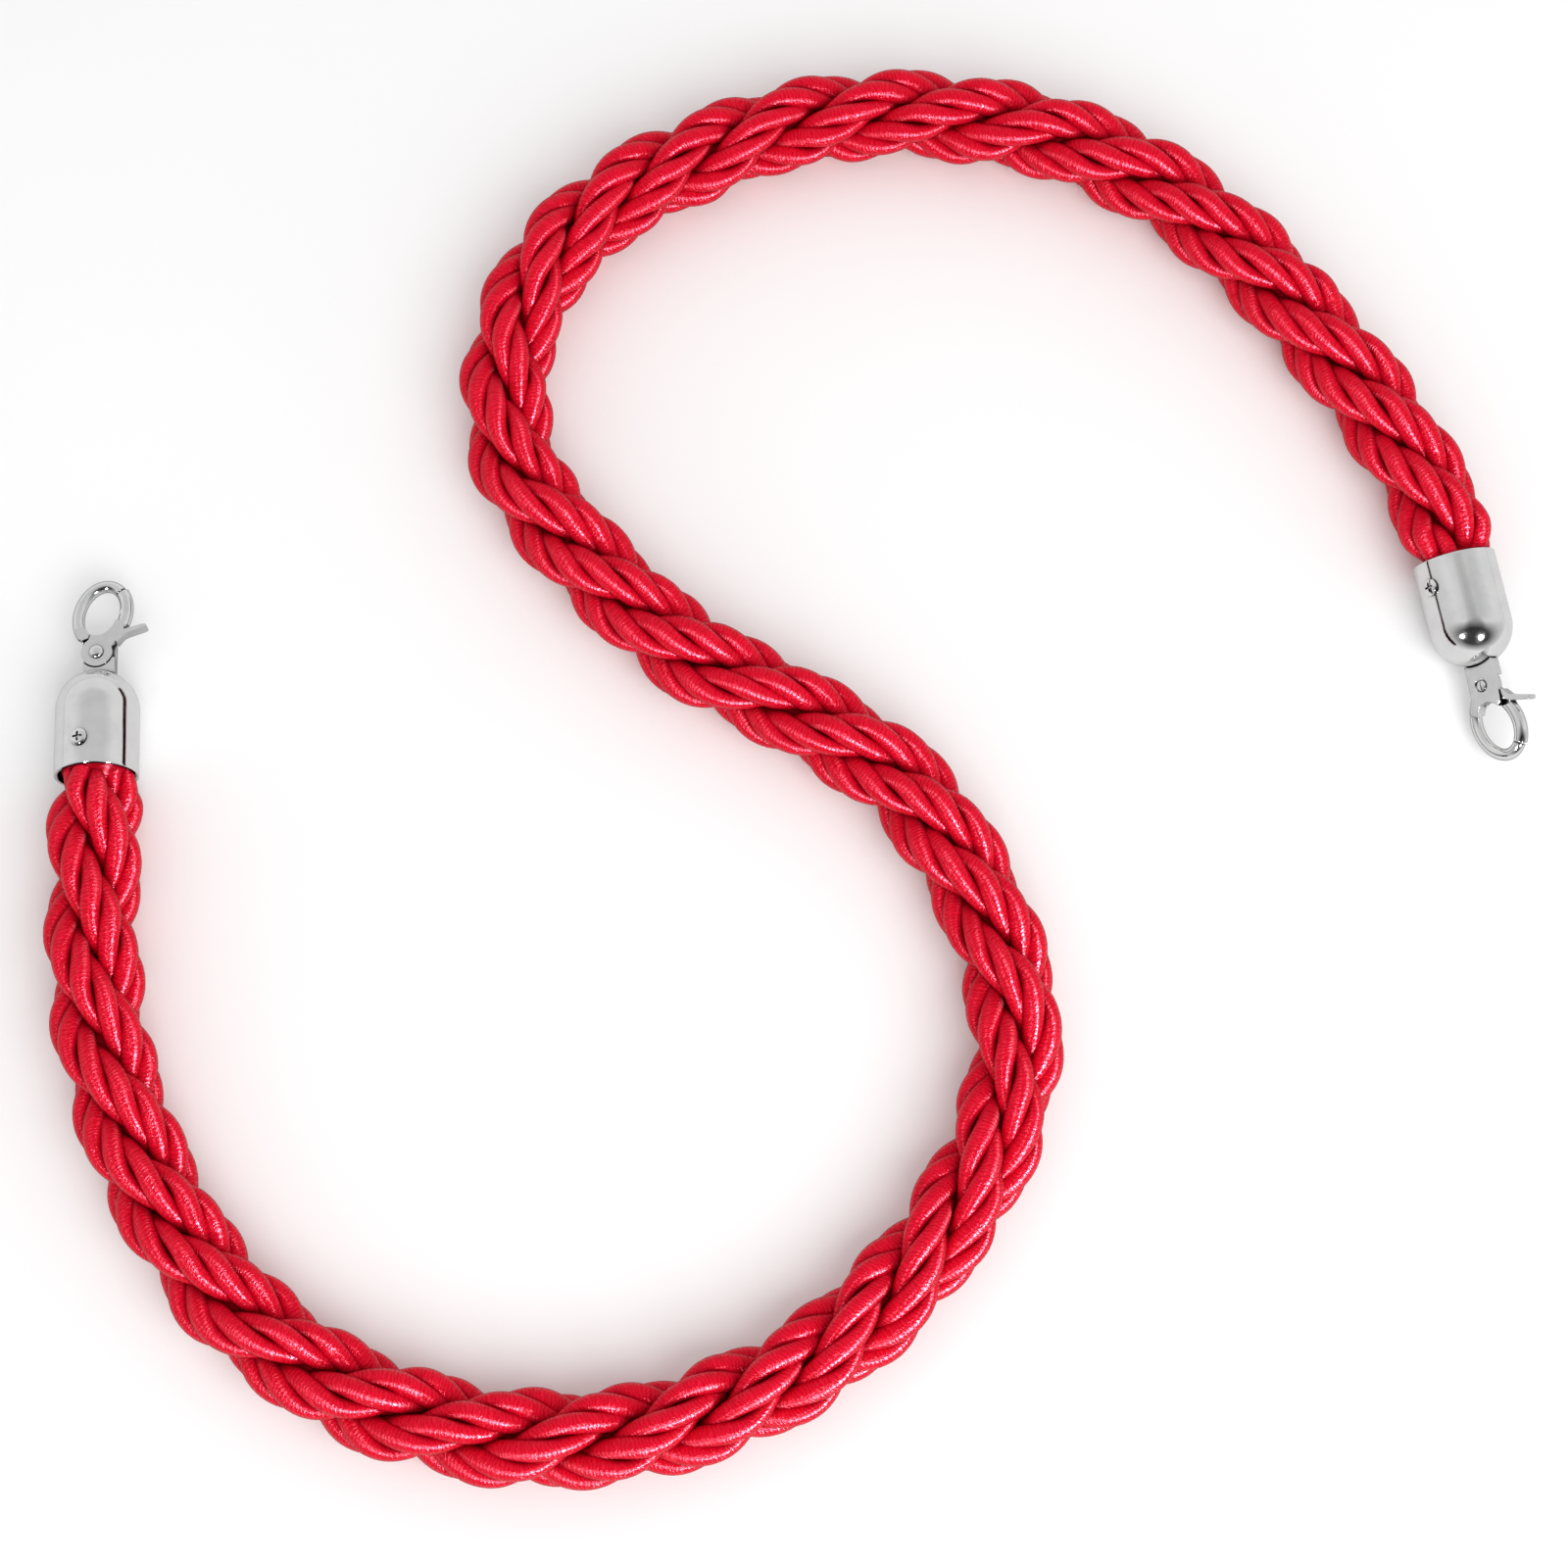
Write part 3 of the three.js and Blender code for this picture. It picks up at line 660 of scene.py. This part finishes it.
def ferrule(side):
    inner = FERRULE_RADIUS - FERRULE_WALL
    steps = np.radians(np.linspace(0, 90, 31))

    def dome(radius):
        points = [(radius * math.cos(a), FERRULE_STRAIGHT + radius * math.sin(a)) for a in steps]
        return points[:-1] + [(0, FERRULE_STRAIGHT + radius)]

    rounding = np.radians(np.linspace(0, 90, 5))
    rim = [
        (FERRULE_RADIUS + RIM_ROUNDING * (math.sin(a) - 1), RIM_ROUNDING * (1 - math.cos(a)))
        for a in rounding
    ]
    straight = [(FERRULE_RADIUS, y) for y in np.linspace(1, FERRULE_STRAIGHT - 1, 12)]
    inside = dome(inner)[::-1] + [(inner, 12), (inner, 0.2), (inner + 0.2, 0)]
    outline = inside + rim + straight + dome(FERRULE_RADIUS)
    bell = lathe(outline, FERRULE_SIDES, axis="Y")
    half = TANG_HALF_THICKNESS + CLEARANCE
    slot_left, slot_right = NECK_LEFT + TANG_INSET - CLEARANCE, NECK_RIGHT - TANG_INSET + CLEARANCE
    slot = block(slot_left, slot_right, TANG_FOOT - 1.5, NECK_TOP, -half, half)
    hole = screw_tool(barrel((0, 0), SCREW_RADIUS + CLEARANCE, inner / 2, FERRULE_RADIUS + 5, 32), side)
    cut(bell, [slot, hole])
    remove([slot, hole])
    return bell


def screw(side):
    seat = FERRULE_RADIUS + CLEARANCE
    tip = seat - SCREW_LENGTH
    dome = np.radians(np.linspace(8, 90, 10))
    edge = 0.3                # height of the head's upright edge
    head = [
        (SCREW_HEAD_RADIUS * math.cos(a) * 1.01, seat + edge + (SCREW_HEAD_HEIGHT - edge) * math.sin(a))
        for a in dome
    ]
    head[-1] = (0, head[-1][1])
    thread = []
    root = SCREW_RADIUS - SCREW_THREAD_DEPTH
    for turn in range(SCREW_THREADS):
        y = tip + 2 + turn * SCREW_THREAD_PITCH
        thread += [(root, y), (SCREW_RADIUS, y + 0.2), (root, y + 0.4)]
    outline = [(0, tip), (SCREW_RADIUS * 0.3, tip + 0.1)] + thread
    outline += [(SCREW_RADIUS, seat), (SCREW_HEAD_RADIUS, seat)]
    solid = lathe(outline + head, 48)
    top = seat + SCREW_HEAD_HEIGHT
    reach, half = SCREW_HEAD_RADIUS * 0.6, SCREW_CROSS_HALF_WIDTH
    cross = [
        plate([(-x, -y), (x, -y), (x, y), (-x, y)], top - SCREW_CROSS_DEPTH, top + 1, 1)
        for x, y in ((reach, half), (half, reach))
    ]
    cut(solid, cross)
    remove(cross)
    return screw_tool(solid, side)


# ---- Snap hook ---------------------------------------------------------------------------------

def hook_body():
    half, lap = HALF_THICKNESS, HALF_LAP
    foot = FERRULE_STRAIGHT + FERRULE_RADIUS - 4
    neck = block(NECK_LEFT, NECK_RIGHT, foot, NECK_TOP, -half, half)
    cheek = plate([
        (NECK_LEFT, foot), (NECK_RIGHT, foot), (NECK_RIGHT, 54.8), (4.3, 57.6), (-1, 60),
        (-7.4, 58), (-8.2, 56), (-5.9, 51.8), (-5.7, 47),
    ], -half, -lap)
    shoulder = plate([(-8.2, 56), (-6.3, 52.6), (-2.6, 53.8), (-4, 58), (-8, 58)], -half, half - 0.2)
    tang_half = TANG_HALF_THICKNESS
    tang = block(
        NECK_LEFT + TANG_INSET, NECK_RIGHT - TANG_INSET, TANG_FOOT, NECK_TOP - 2, -tang_half, tang_half
    )
    hook = arm(BODY_ARM_RADIUS, -152, SLIT_ANGLE - SLIT_HALF_ANGLE)
    room = ball((0, FERRULE_STRAIGHT, 0), FERRULE_RADIUS + CLEARANCE)
    cut(neck, [room])
    cut(cheek, [room])
    cutters = [
        eye_hole(),
        plate([(-3.95, 52.2), (-2.85, 56), (4, 60), (12, 50), (4, 46)], -lap, half + 1, 0),
        barrel(PIVOT_AT, LEVER_RECESS_RADIUS, -lap, half + 1),
        barrel(PIVOT_AT, POCKET_RADIUS, -POCKET_DEPTH, 0),
        barrel(PIVOT_AT, RIVET_RADIUS + CLEARANCE, -half - 1, half + 1),
        barrel(TANG_PIN_AT, TANG_PIN_RADIUS + CLEARANCE, -half - 1, half + 1),
        countersink(),
    ]
    solids = [cut(solid, cutters) for solid in (neck, cheek, shoulder, tang, hook)]
    remove(cutters + [room])
    return merge_cast(solids, "hook_body")


def countersink():
    radius = RIVET_RADIUS + CLEARANCE
    low = -HALF_THICKNESS - 0.5
    depth = 1.4
    cone = lathe([(0, low), (radius + depth, low), (radius, low + depth), (0, low + depth)], 64)
    return moved(cone, PIVOT_AT)


def hook_lever():
    half, lap = HALF_THICKNESS, HALF_LAP
    disc = barrel(PIVOT_AT, LEVER_DISC_RADIUS, lap, half, 96)
    web = plate([
        (-3.6, 52.4), (-2.5, 55.6), (4, 60.5), (9, 60), (9.6, 57.4), (7.9, 53.6), (5.1, 50.4), (3, 46),
    ], lap, half)
    tip = arm(LEVER_ARM_RADIUS, SLIT_ANGLE + SLIT_HALF_ANGLE, 122)
    tab = plate([
        (6.7, 50.8), (9.4, 54.3), (17.7, 56.8), (17.2, 58.5), (8.5, 56.3), (6.7, 54),
    ], -half + 0.5, half)
    plate_room = plate([
        (-8, 40), (6.65, 40), (6.65, 55), (9, 56), (9, 57.6), (-8, 57.6),
    ], -half - 1, lap, 0)
    cut(tip, [plate_room])
    cutters = [
        eye_hole(),
        barrel(PIVOT_AT, POCKET_RADIUS, 0, POCKET_DEPTH),
        barrel(PIVOT_AT, RIVET_RADIUS + CLEARANCE, -half - 1, half + 1),
    ]
    solids = [cut(solid, cutters) for solid in (disc, web, tip, tab)]
    remove(cutters + [plate_room])
    return merge_cast(solids, "hook_lever")


def pivot_rivet():
    end, seat = -HALF_THICKNESS + CLEARANCE, HALF_THICKNESS + CLEARANCE
    dome = np.radians(np.linspace(15, 90, 10))
    head = [(RIVET_HEAD_RADIUS * math.cos(a) * 1.03, seat + 1.15 * math.sin(a)) for a in dome]
    head[-1] = (0, head[-1][1])
    flush_end = [(RIVET_RADIUS + 0.35, end), (RIVET_RADIUS + 0.5, end + 0.1), (RIVET_RADIUS, end + 0.55)]
    outline = [(0, end)] + flush_end
    outline += [(RIVET_RADIUS, seat), (RIVET_HEAD_RADIUS, seat)] + head
    return moved(lathe(outline, 64), PIVOT_AT)


def torsion_spring():
    turn = np.linspace(0, 2 * math.pi * SPRING_TURNS, SPRING_TURNS * 40 + 1)
    height = (POCKET_DEPTH - SPRING_WIRE) * 2 * (turn / turn[-1] - 0.5)
    points = np.column_stack([
        PIVOT_AT[0] + SPRING_RADIUS * np.cos(turn), PIVOT_AT[1] + SPRING_RADIUS * np.sin(turn), height,
    ])
    return closed_bar(points, SPRING_WIRE / 2, 12)


def tang_pin():
    half, radius, bevel = TANG_PIN_HALF_LENGTH, TANG_PIN_RADIUS, 0.3
    outline = [(0, -half), (radius - bevel, -half), (radius, bevel - half)]
    outline += [(radius, half - bevel), (radius - bevel, half), (0, half)]
    return moved(lathe(outline, 40), TANG_PIN_AT)


def make_end(side, nickel, cast_nickel, steel):
    body, lever = f"{side}_end", f"{side}_lever"
    place_on_end(ferrule(side), side, body, nickel, "ferrule", 30)
    place_on_end(screw(side), side, body, nickel, "ferrule_screw", 35)
    place_on_end(hook_body(), side, body, cast_nickel, "hook_body")
    place_on_end(hook_lever(), side, lever, cast_nickel, "hook_lever")
    place_on_end(pivot_rivet(), side, body, cast_nickel, "pivot_rivet", 35)
    place_on_end(torsion_spring(), side, body, steel, "torsion_spring", 50)
    place_on_end(tang_pin(), side, body, steel, "tang_pin", 35)


# ---- Materials ---------------------------------------------------------------------------------

class Nodes:
    """Builds the node tree of a material or a world."""

    def __init__(self, owner):
        owner.use_nodes = True
        self.owner = owner
        self.tree = owner.node_tree

    def add(self, kind, inputs=(), output=0, **settings):
        """A node with its inputs linked or set by name or number; gives one of its outputs."""
        node = self.tree.nodes.new("ShaderNode" + kind)
        for key, value in settings.items():
            setattr(node, key, value)
        self.join(node, dict(enumerate(inputs)) if isinstance(inputs, (list, tuple)) else inputs)
        return node.outputs[output]

    def join(self, node, inputs):
        for key, value in inputs.items():
            if isinstance(value, bpy.types.NodeSocket):
                self.tree.links.new(value, node.inputs[key])
            else:
                node.inputs[key].default_value = value

    def surface(self, **inputs):
        """Sets the inputs of the surface's shader, with _ for each space, and gives the material."""
        shader = self.tree.nodes["Principled BSDF"]
        self.join(shader, {name.replace("_", " "): value for name, value in inputs.items()})
        return self.owner

    def maths(self, operation, *values):
        return self.add("Math", values, operation=operation)

    def noise(self, vector, scale, detail=2.0, roughness=0.5):
        inputs = {"Vector": vector, "Scale": scale, "Detail": detail, "Roughness": roughness}
        return self.add("TexNoise", inputs)

    def stretched_noise(self, vector, scale, detail=2.0, **stretch):
        """Noise in a space stretched by Scale and turned by Rotation."""
        return self.noise(self.add("Mapping", {"Vector": vector, **stretch}), scale, detail)

    def mix(self, factor, first, second):
        """From the first colour at 0 to the second at 1."""
        # The node's sockets for each kind of value have the same names; these are the colours'.
        return self.add("Mix", {0: factor, 6: first, 7: second}, output=2, data_type="RGBA")

    def ramp(self, factor, stops):
        """A colour ramp through (place, colour) stops."""
        node = self.tree.nodes.new("ShaderNodeValToRGB")
        elements = node.color_ramp.elements
        while len(elements) < len(stops):
            elements.new(1.0)
        for element, (place, colour) in zip(elements, stops):
            element.position = place
            element.color = (*colour, 1.0)
        self.tree.links.new(factor, node.inputs[0])
        return node.outputs[0]

    def rescale(self, value, low, high, to_low, to_high):
        return self.add("MapRange", [value, low, high, to_low, to_high])


CORD_RADIUS = 3.0             # about; a cord's surface is mapped as a round bar's
THREAD_PITCH = 0.58           # of the threads wrapped round a cord
BUNDLE_PITCH = 1.16           # of the coarser bundles that the threads lie in
WRAP_SLANT = 4.0              # bundles that a wrap climbs in going once round its cord
PAINTED_REFLECTION_SATIN = (0.012, 0.0, 0.0005, 1.0)    # painted reflection: the rope as polished metal shows it, a nearly black line


def wrapped_threads(n):
    """Waves between -1 and 1 across the threads wrapped round a cord and across their bundles, and streaks
    between 0 and 1 that run along the threads."""
    along, round_, _ = n.add("SeparateXYZ", [n.add("UVMap", uv_map="UVMap")]).node.outputs
    angle = n.maths("MULTIPLY", round_, 2 * math.pi)
    sideways = n.maths("MULTIPLY", n.maths("COSINE", angle), CORD_RADIUS)
    upwards = n.maths("MULTIPLY", n.maths("SINE", angle), CORD_RADIUS)
    on_cord = n.add("CombineXYZ", [along, sideways, upwards])
    wobble = n.rescale(n.noise(on_cord, 0.35, 3.0), 0.25, 0.75, -0.9, 0.9)

    def wraps(pitch, slant, wobble_share):
        phase = n.maths("ADD", n.maths("DIVIDE", along, pitch), n.maths("MULTIPLY", round_, slant))
        phase = n.maths("ADD", phase, n.maths("MULTIPLY", wobble, wobble_share))
        return n.maths("SINE", n.maths("MULTIPLY", phase, 2 * math.pi))

    fine = wraps(THREAD_PITCH, 2 * WRAP_SLANT, 1.6)
    bundle = wraps(BUNDLE_PITCH, WRAP_SLANT, 0.8)
    drawn_out = n.add("Mapping", {"Vector": on_cord, "Scale": (1.3, 0.25, 0.25)})
    return fine, bundle, n.noise(drawn_out, 1.0, 4.0, 0.6)


def satin(name, dark, base, light, shine):
    """Shiny threads wrapped round a cord: they run round it, so highlights stretch along it. Creases and
    turned-away sides are painted dark as shade, the threads go from base to light, and shine is how glossy
    they are."""
    n = Nodes(bpy.data.materials.new(name))
    fine, bundle, streaks = wrapped_threads(n)
    height = n.maths("ADD", n.maths("MULTIPLY", fine, 0.22), n.maths("MULTIPLY", bundle, 0.75))
    height = n.maths("ADD", height, n.maths("MULTIPLY", streaks, 0.8))
    bump = n.add("Bump", {"Height": height, "Strength": 1.0, "Distance": 0.00007})
    hatch = n.maths("ADD", n.maths("MULTIPLY", fine, 0.10), n.maths("MULTIPLY", bundle, 0.15))
    colour = n.ramp(n.maths("ADD", hatch, streaks), [(0.3, base), (0.7, light)])
    # Painted shade: darker down between cords and strands, and on sides turned away from the viewer.
    crease = n.add("Attribute", output="Fac", attribute_name="crease")
    turned_away = n.add("LayerWeight", {"Blend": 0.5}, output="Facing")
    painted_shade_mask = n.maths("MAXIMUM", crease, n.rescale(turned_away, 0.55, 0.92, 0.0, 1.0))
    # Painted reflection: glossy rays see the rope as a nearly black line, without sheen.
    mirrored = n.add("LightPath", output="Is Glossy Ray")
    colour = n.mix(mirrored, n.mix(painted_shade_mask, colour, (*dark, 1.0)), PAINTED_REFLECTION_SATIN)
    sheen = n.rescale(bundle, -1.0, 1.0, 0.4 * shine, shine)
    for dull in (painted_shade_mask, mirrored):
        sheen = n.maths("MULTIPLY", n.maths("SUBTRACT", 1.0, dull), sheen)
    tangent = n.add("Tangent", direction_type="UV_MAP", uv_map="UVMap")
    roughness = n.rescale(streaks, 0.3, 0.7, 0.37, 0.30)
    return n.surface(
        Base_Color=colour, Roughness=roughness, Anisotropic=1.0, Tangent=tangent, Normal=bump,
        Specular_IOR_Level=sheen, Specular_Tint=(1.0, 0.15, 0.23, 1.0),
    )


CREVICE_SHADE_REACH = 0.0022        # metres; metal this near to other metal gets painted shade


def nickel_plate(name, painted_edge_shade):
    """Polished plating, with faint wiping marks, cloudy patches and a few fine scratches. It has painted
    shade in crevices, and small castings have painted shade at their turned-away edges too."""
    n = Nodes(bpy.data.materials.new(name))
    place = n.add("TexCoord", output="Object")
    clouds = n.noise(place, 160.0, 3.0)
    wiped = n.stretched_noise(place, 900.0, Scale=(1.0, 1.0, 14.0))
    scratches = n.stretched_noise(place, 500.0, Scale=(18.0, 1.0, 1.0), Rotation=(0.4, 0.7, 0.5))
    tint = n.ramp(clouds, [
        (0.3, (0.86, 0.86, 0.87)), (0.55, (0.92, 0.92, 0.92)), (0.8, (0.95, 0.94, 0.93)),
    ])
    # Painted shade: near black in crevices and darker at turned-away edges.
    open_air = n.add("AmbientOcclusion", {"Distance": CREVICE_SHADE_REACH}, output="AO", samples=8)
    turned_away = n.add("LayerWeight", {"Blend": 0.5}, output="Facing")
    painted_shading = n.maths(
        "MULTIPLY", n.rescale(open_air, 0.40, 0.92, 0.03, 1.0),
        n.rescale(turned_away, 0.35, 0.80, 1.0, 1.0 - painted_edge_shade),
    )
    tint = n.mix(painted_shading, (0.0, 0.0, 0.0, 1.0), tint)
    scratched = n.rescale(scratches, 0.62, 0.8, 0.0, 0.12)
    roughness = n.maths("ADD", n.rescale(clouds, 0.3, 0.7, 0.05, 0.10), scratched)
    height = n.maths("ADD", n.maths("MULTIPLY", wiped, 0.3), n.maths("MULTIPLY", clouds, 1.0))
    bump = n.add("Bump", {"Height": height, "Strength": 0.05, "Distance": 0.0002})
    return n.surface(Base_Color=tint, Metallic=1.0, Roughness=roughness, Normal=bump)


def drawn_steel(name):
    """Bare steel with fine drawing lines."""
    n = Nodes(bpy.data.materials.new(name))
    place = n.add("TexCoord", output="Object")
    lines = n.stretched_noise(place, 700.0, 3.0, Scale=(1.0, 1.0, 25.0))
    tint = n.ramp(lines, [(0.3, (0.30, 0.30, 0.31)), (0.7, (0.52, 0.52, 0.53))])
    bump = n.add("Bump", {"Height": lines, "Strength": 0.2, "Distance": 0.0001})
    roughness = n.rescale(lines, 0.3, 0.7, 0.25, 0.45)
    return n.surface(Base_Color=tint, Metallic=1.0, Roughness=roughness, Normal=bump)


# ---- Floor, light and camera -------------------------------------------------------------------

FLOOR_REACH = 6.0             # half its width, in metres
FLOOR_REFLECTION_PAINT = 0.68             # how bright it is painted in reflections, as a share: a painted reflection darker than the floor seen directly


def make_floor(height):
    n = Nodes(bpy.data.materials.new("pale_floor"))
    place = n.add("TexCoord", output="Object")
    mottled = n.ramp(n.noise(place, 3.0, 3.0), [(0.3, (0.90, 0.90, 0.90)), (0.7, (0.93, 0.93, 0.93))])
    # Painted reflection: glossy rays see the floor darker than the camera does.
    glossy = n.add("LightPath", output="Is Glossy Ray")
    brightness = n.rescale(glossy, 0.0, 1.0, 1.0, FLOOR_REFLECTION_PAINT)
    colour = n.add("VectorMath", {0: mottled, "Scale": brightness}, operation="SCALE")
    material = n.surface(Base_Color=colour, Roughness=0.7, Specular_IOR_Level=0.0)
    mesh = bpy.data.meshes.new("floor")
    corners = [(x * FLOOR_REACH, y * FLOOR_REACH, height) for x, y in ((-1, -1), (1, -1), (1, 1), (-1, 1))]
    mesh.from_pydata(corners, [], [(0, 1, 2, 3)])
    add_object("floor", mesh, material)


def area_light(name, way, distance, size, power, in_reflections):
    """A round lamp in a direction from the middle of the floor. It lights matt surfaces or shows only in
    reflections."""
    data = bpy.data.lights.new(name, "AREA")
    data.shape = "DISK"
    data.size = size
    data.energy = power
    light = bpy.data.objects.new(name, data)
    bpy.context.scene.collection.objects.link(light)
    light.location = Vector(way).normalized() * distance
    light.rotation_euler = light.location.to_track_quat("Z", "Y").to_euler()
    light.visible_glossy = in_reflections
    light.visible_diffuse = not in_reflections
    return light


def light_only(light, pieces):
    """Makes a lamp light these pieces alone."""
    group = bpy.data.collections.new(light.name + "_lights")
    for piece in pieces:
        group.objects.link(piece)
    light.light_linking.receiver_collection = group


ROOM_LIGHT = 0.82
ROOM_SEEN = 0.70              # how bright the room is in reflections

# Dark patches that polished metal sees: angle from overhead towards the viewer, half width and half height
# as sines, brightness as a share of the room's.
DARK_PATCHES = [
    (math.radians(46), 0.86, 0.56, 0.05),
    (math.radians(18), 0.42, 0.40, 0.45),
    (math.radians(-25), 0.66, 0.42, 0.80),
]


def studio_world():
    """An even pale room. In reflections, it has soft dark patches round the camera and the lamps."""
    world = bpy.data.worlds.new("studio")
    bpy.context.scene.world = world
    n = Nodes(world)
    way = n.add("TexCoord", output="Generated")
    across = n.add("SeparateXYZ", [way], output="X")

    def share(direction):
        """How much of the way looked is in a direction."""
        return n.add("VectorMath", [way, direction], output="Value", operation="DOT_PRODUCT")

    seen = ROOM_SEEN
    for tilt, half_width, half_height, brightness in DARK_PATCHES:
        along = share((0, math.cos(tilt), math.sin(tilt)))
        behind = n.maths("LESS_THAN", share((0, -math.sin(tilt), math.cos(tilt))), 0.0)
        reach = n.maths(
            "ADD", n.maths("POWER", n.maths("DIVIDE", across, half_width), 2.0),
            n.maths("POWER", n.maths("DIVIDE", along, half_height), 2.0),
        )
        reach = n.maths("ADD", reach, behind)
        seen = n.maths("MULTIPLY", n.rescale(reach, 0.5, 1.5, brightness, 1.0), seen)
    glossy = n.add("LightPath", output="Is Glossy Ray")
    strength = n.rescale(glossy, 0.0, 1.0, ROOM_LIGHT, seen)
    n.join(n.tree.nodes["Background"], {"Color": (1.0, 1.0, 1.0, 1.0), "Strength": strength})


CAMERA_TILT = math.radians(16)
CAMERA_DISTANCE = 1.060
CAMERA_TARGET = ends["left"].translation + Vector((0.2470, 0.0017, -0.0150))
CAMERA_LENS = 66.8


def make_camera():
    data = bpy.data.cameras.new("camera")
    data.lens = CAMERA_LENS
    data.sensor_width = 36.0
    data.clip_start = 0.01
    camera = bpy.data.objects.new("camera", data)
    bpy.context.scene.collection.objects.link(camera)
    away = Vector((0, -math.sin(CAMERA_TILT), math.cos(CAMERA_TILT)))
    camera.location = CAMERA_TARGET + away * CAMERA_DISTANCE
    camera.rotation_euler = (CAMERA_TILT, 0, 0)
    bpy.context.scene.camera = camera


# ---- Assembly ----------------------------------------------------------------------------------

# Each satin's first colour is its painted shade for creases and turned-away sides.
cord_satin = satin("red_satin", (0.26, 0.0, 0.004), (0.56, 0.001, 0.013), (0.78, 0.005, 0.028), 0.8)
# The cores are drawn near black, as painted shade deep inside the rope.
shade_core_satin = satin("dark_core_satin", (0.05, 0.0, 0.001), (0.10, 0.0, 0.003), (0.16, 0.001, 0.006), 0.1)
rope_pieces = make_rope((cord_satin, shade_core_satin))

nickel = nickel_plate("spun_nickel_plate", 0.0)
# Cast parts get painted shade at their turned-away edges.
cast_nickel = nickel_plate("cast_nickel_plate", 0.7)
steel = drawn_steel("spring_steel_wire")
for end_side in ("left", "right"):
    make_end(end_side, nickel, cast_nickel, steel)

bpy.context.view_layer.update()
visual_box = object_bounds()
make_floor(visual_box[0][2])
studio_world()
area_light("soft_key", (0.35, -0.60, 0.75), 1.6, 1.4, 14, in_reflections=False)
area_light("right_glint", (0.46, -0.66, 0.59), 1.3, 0.20, 36, in_reflections=True)
area_light("left_glint", (-0.40, -0.70, 0.59), 1.3, 0.20, 18, in_reflections=True)
rope_glint = area_light("rope_glint", (0.47, -0.80, 0.36), 1.3, 0.18, 155, in_reflections=True)
light_only(rope_glint, rope_pieces)
make_camera()
bpy.context.scene.view_settings.view_transform = "Standard"
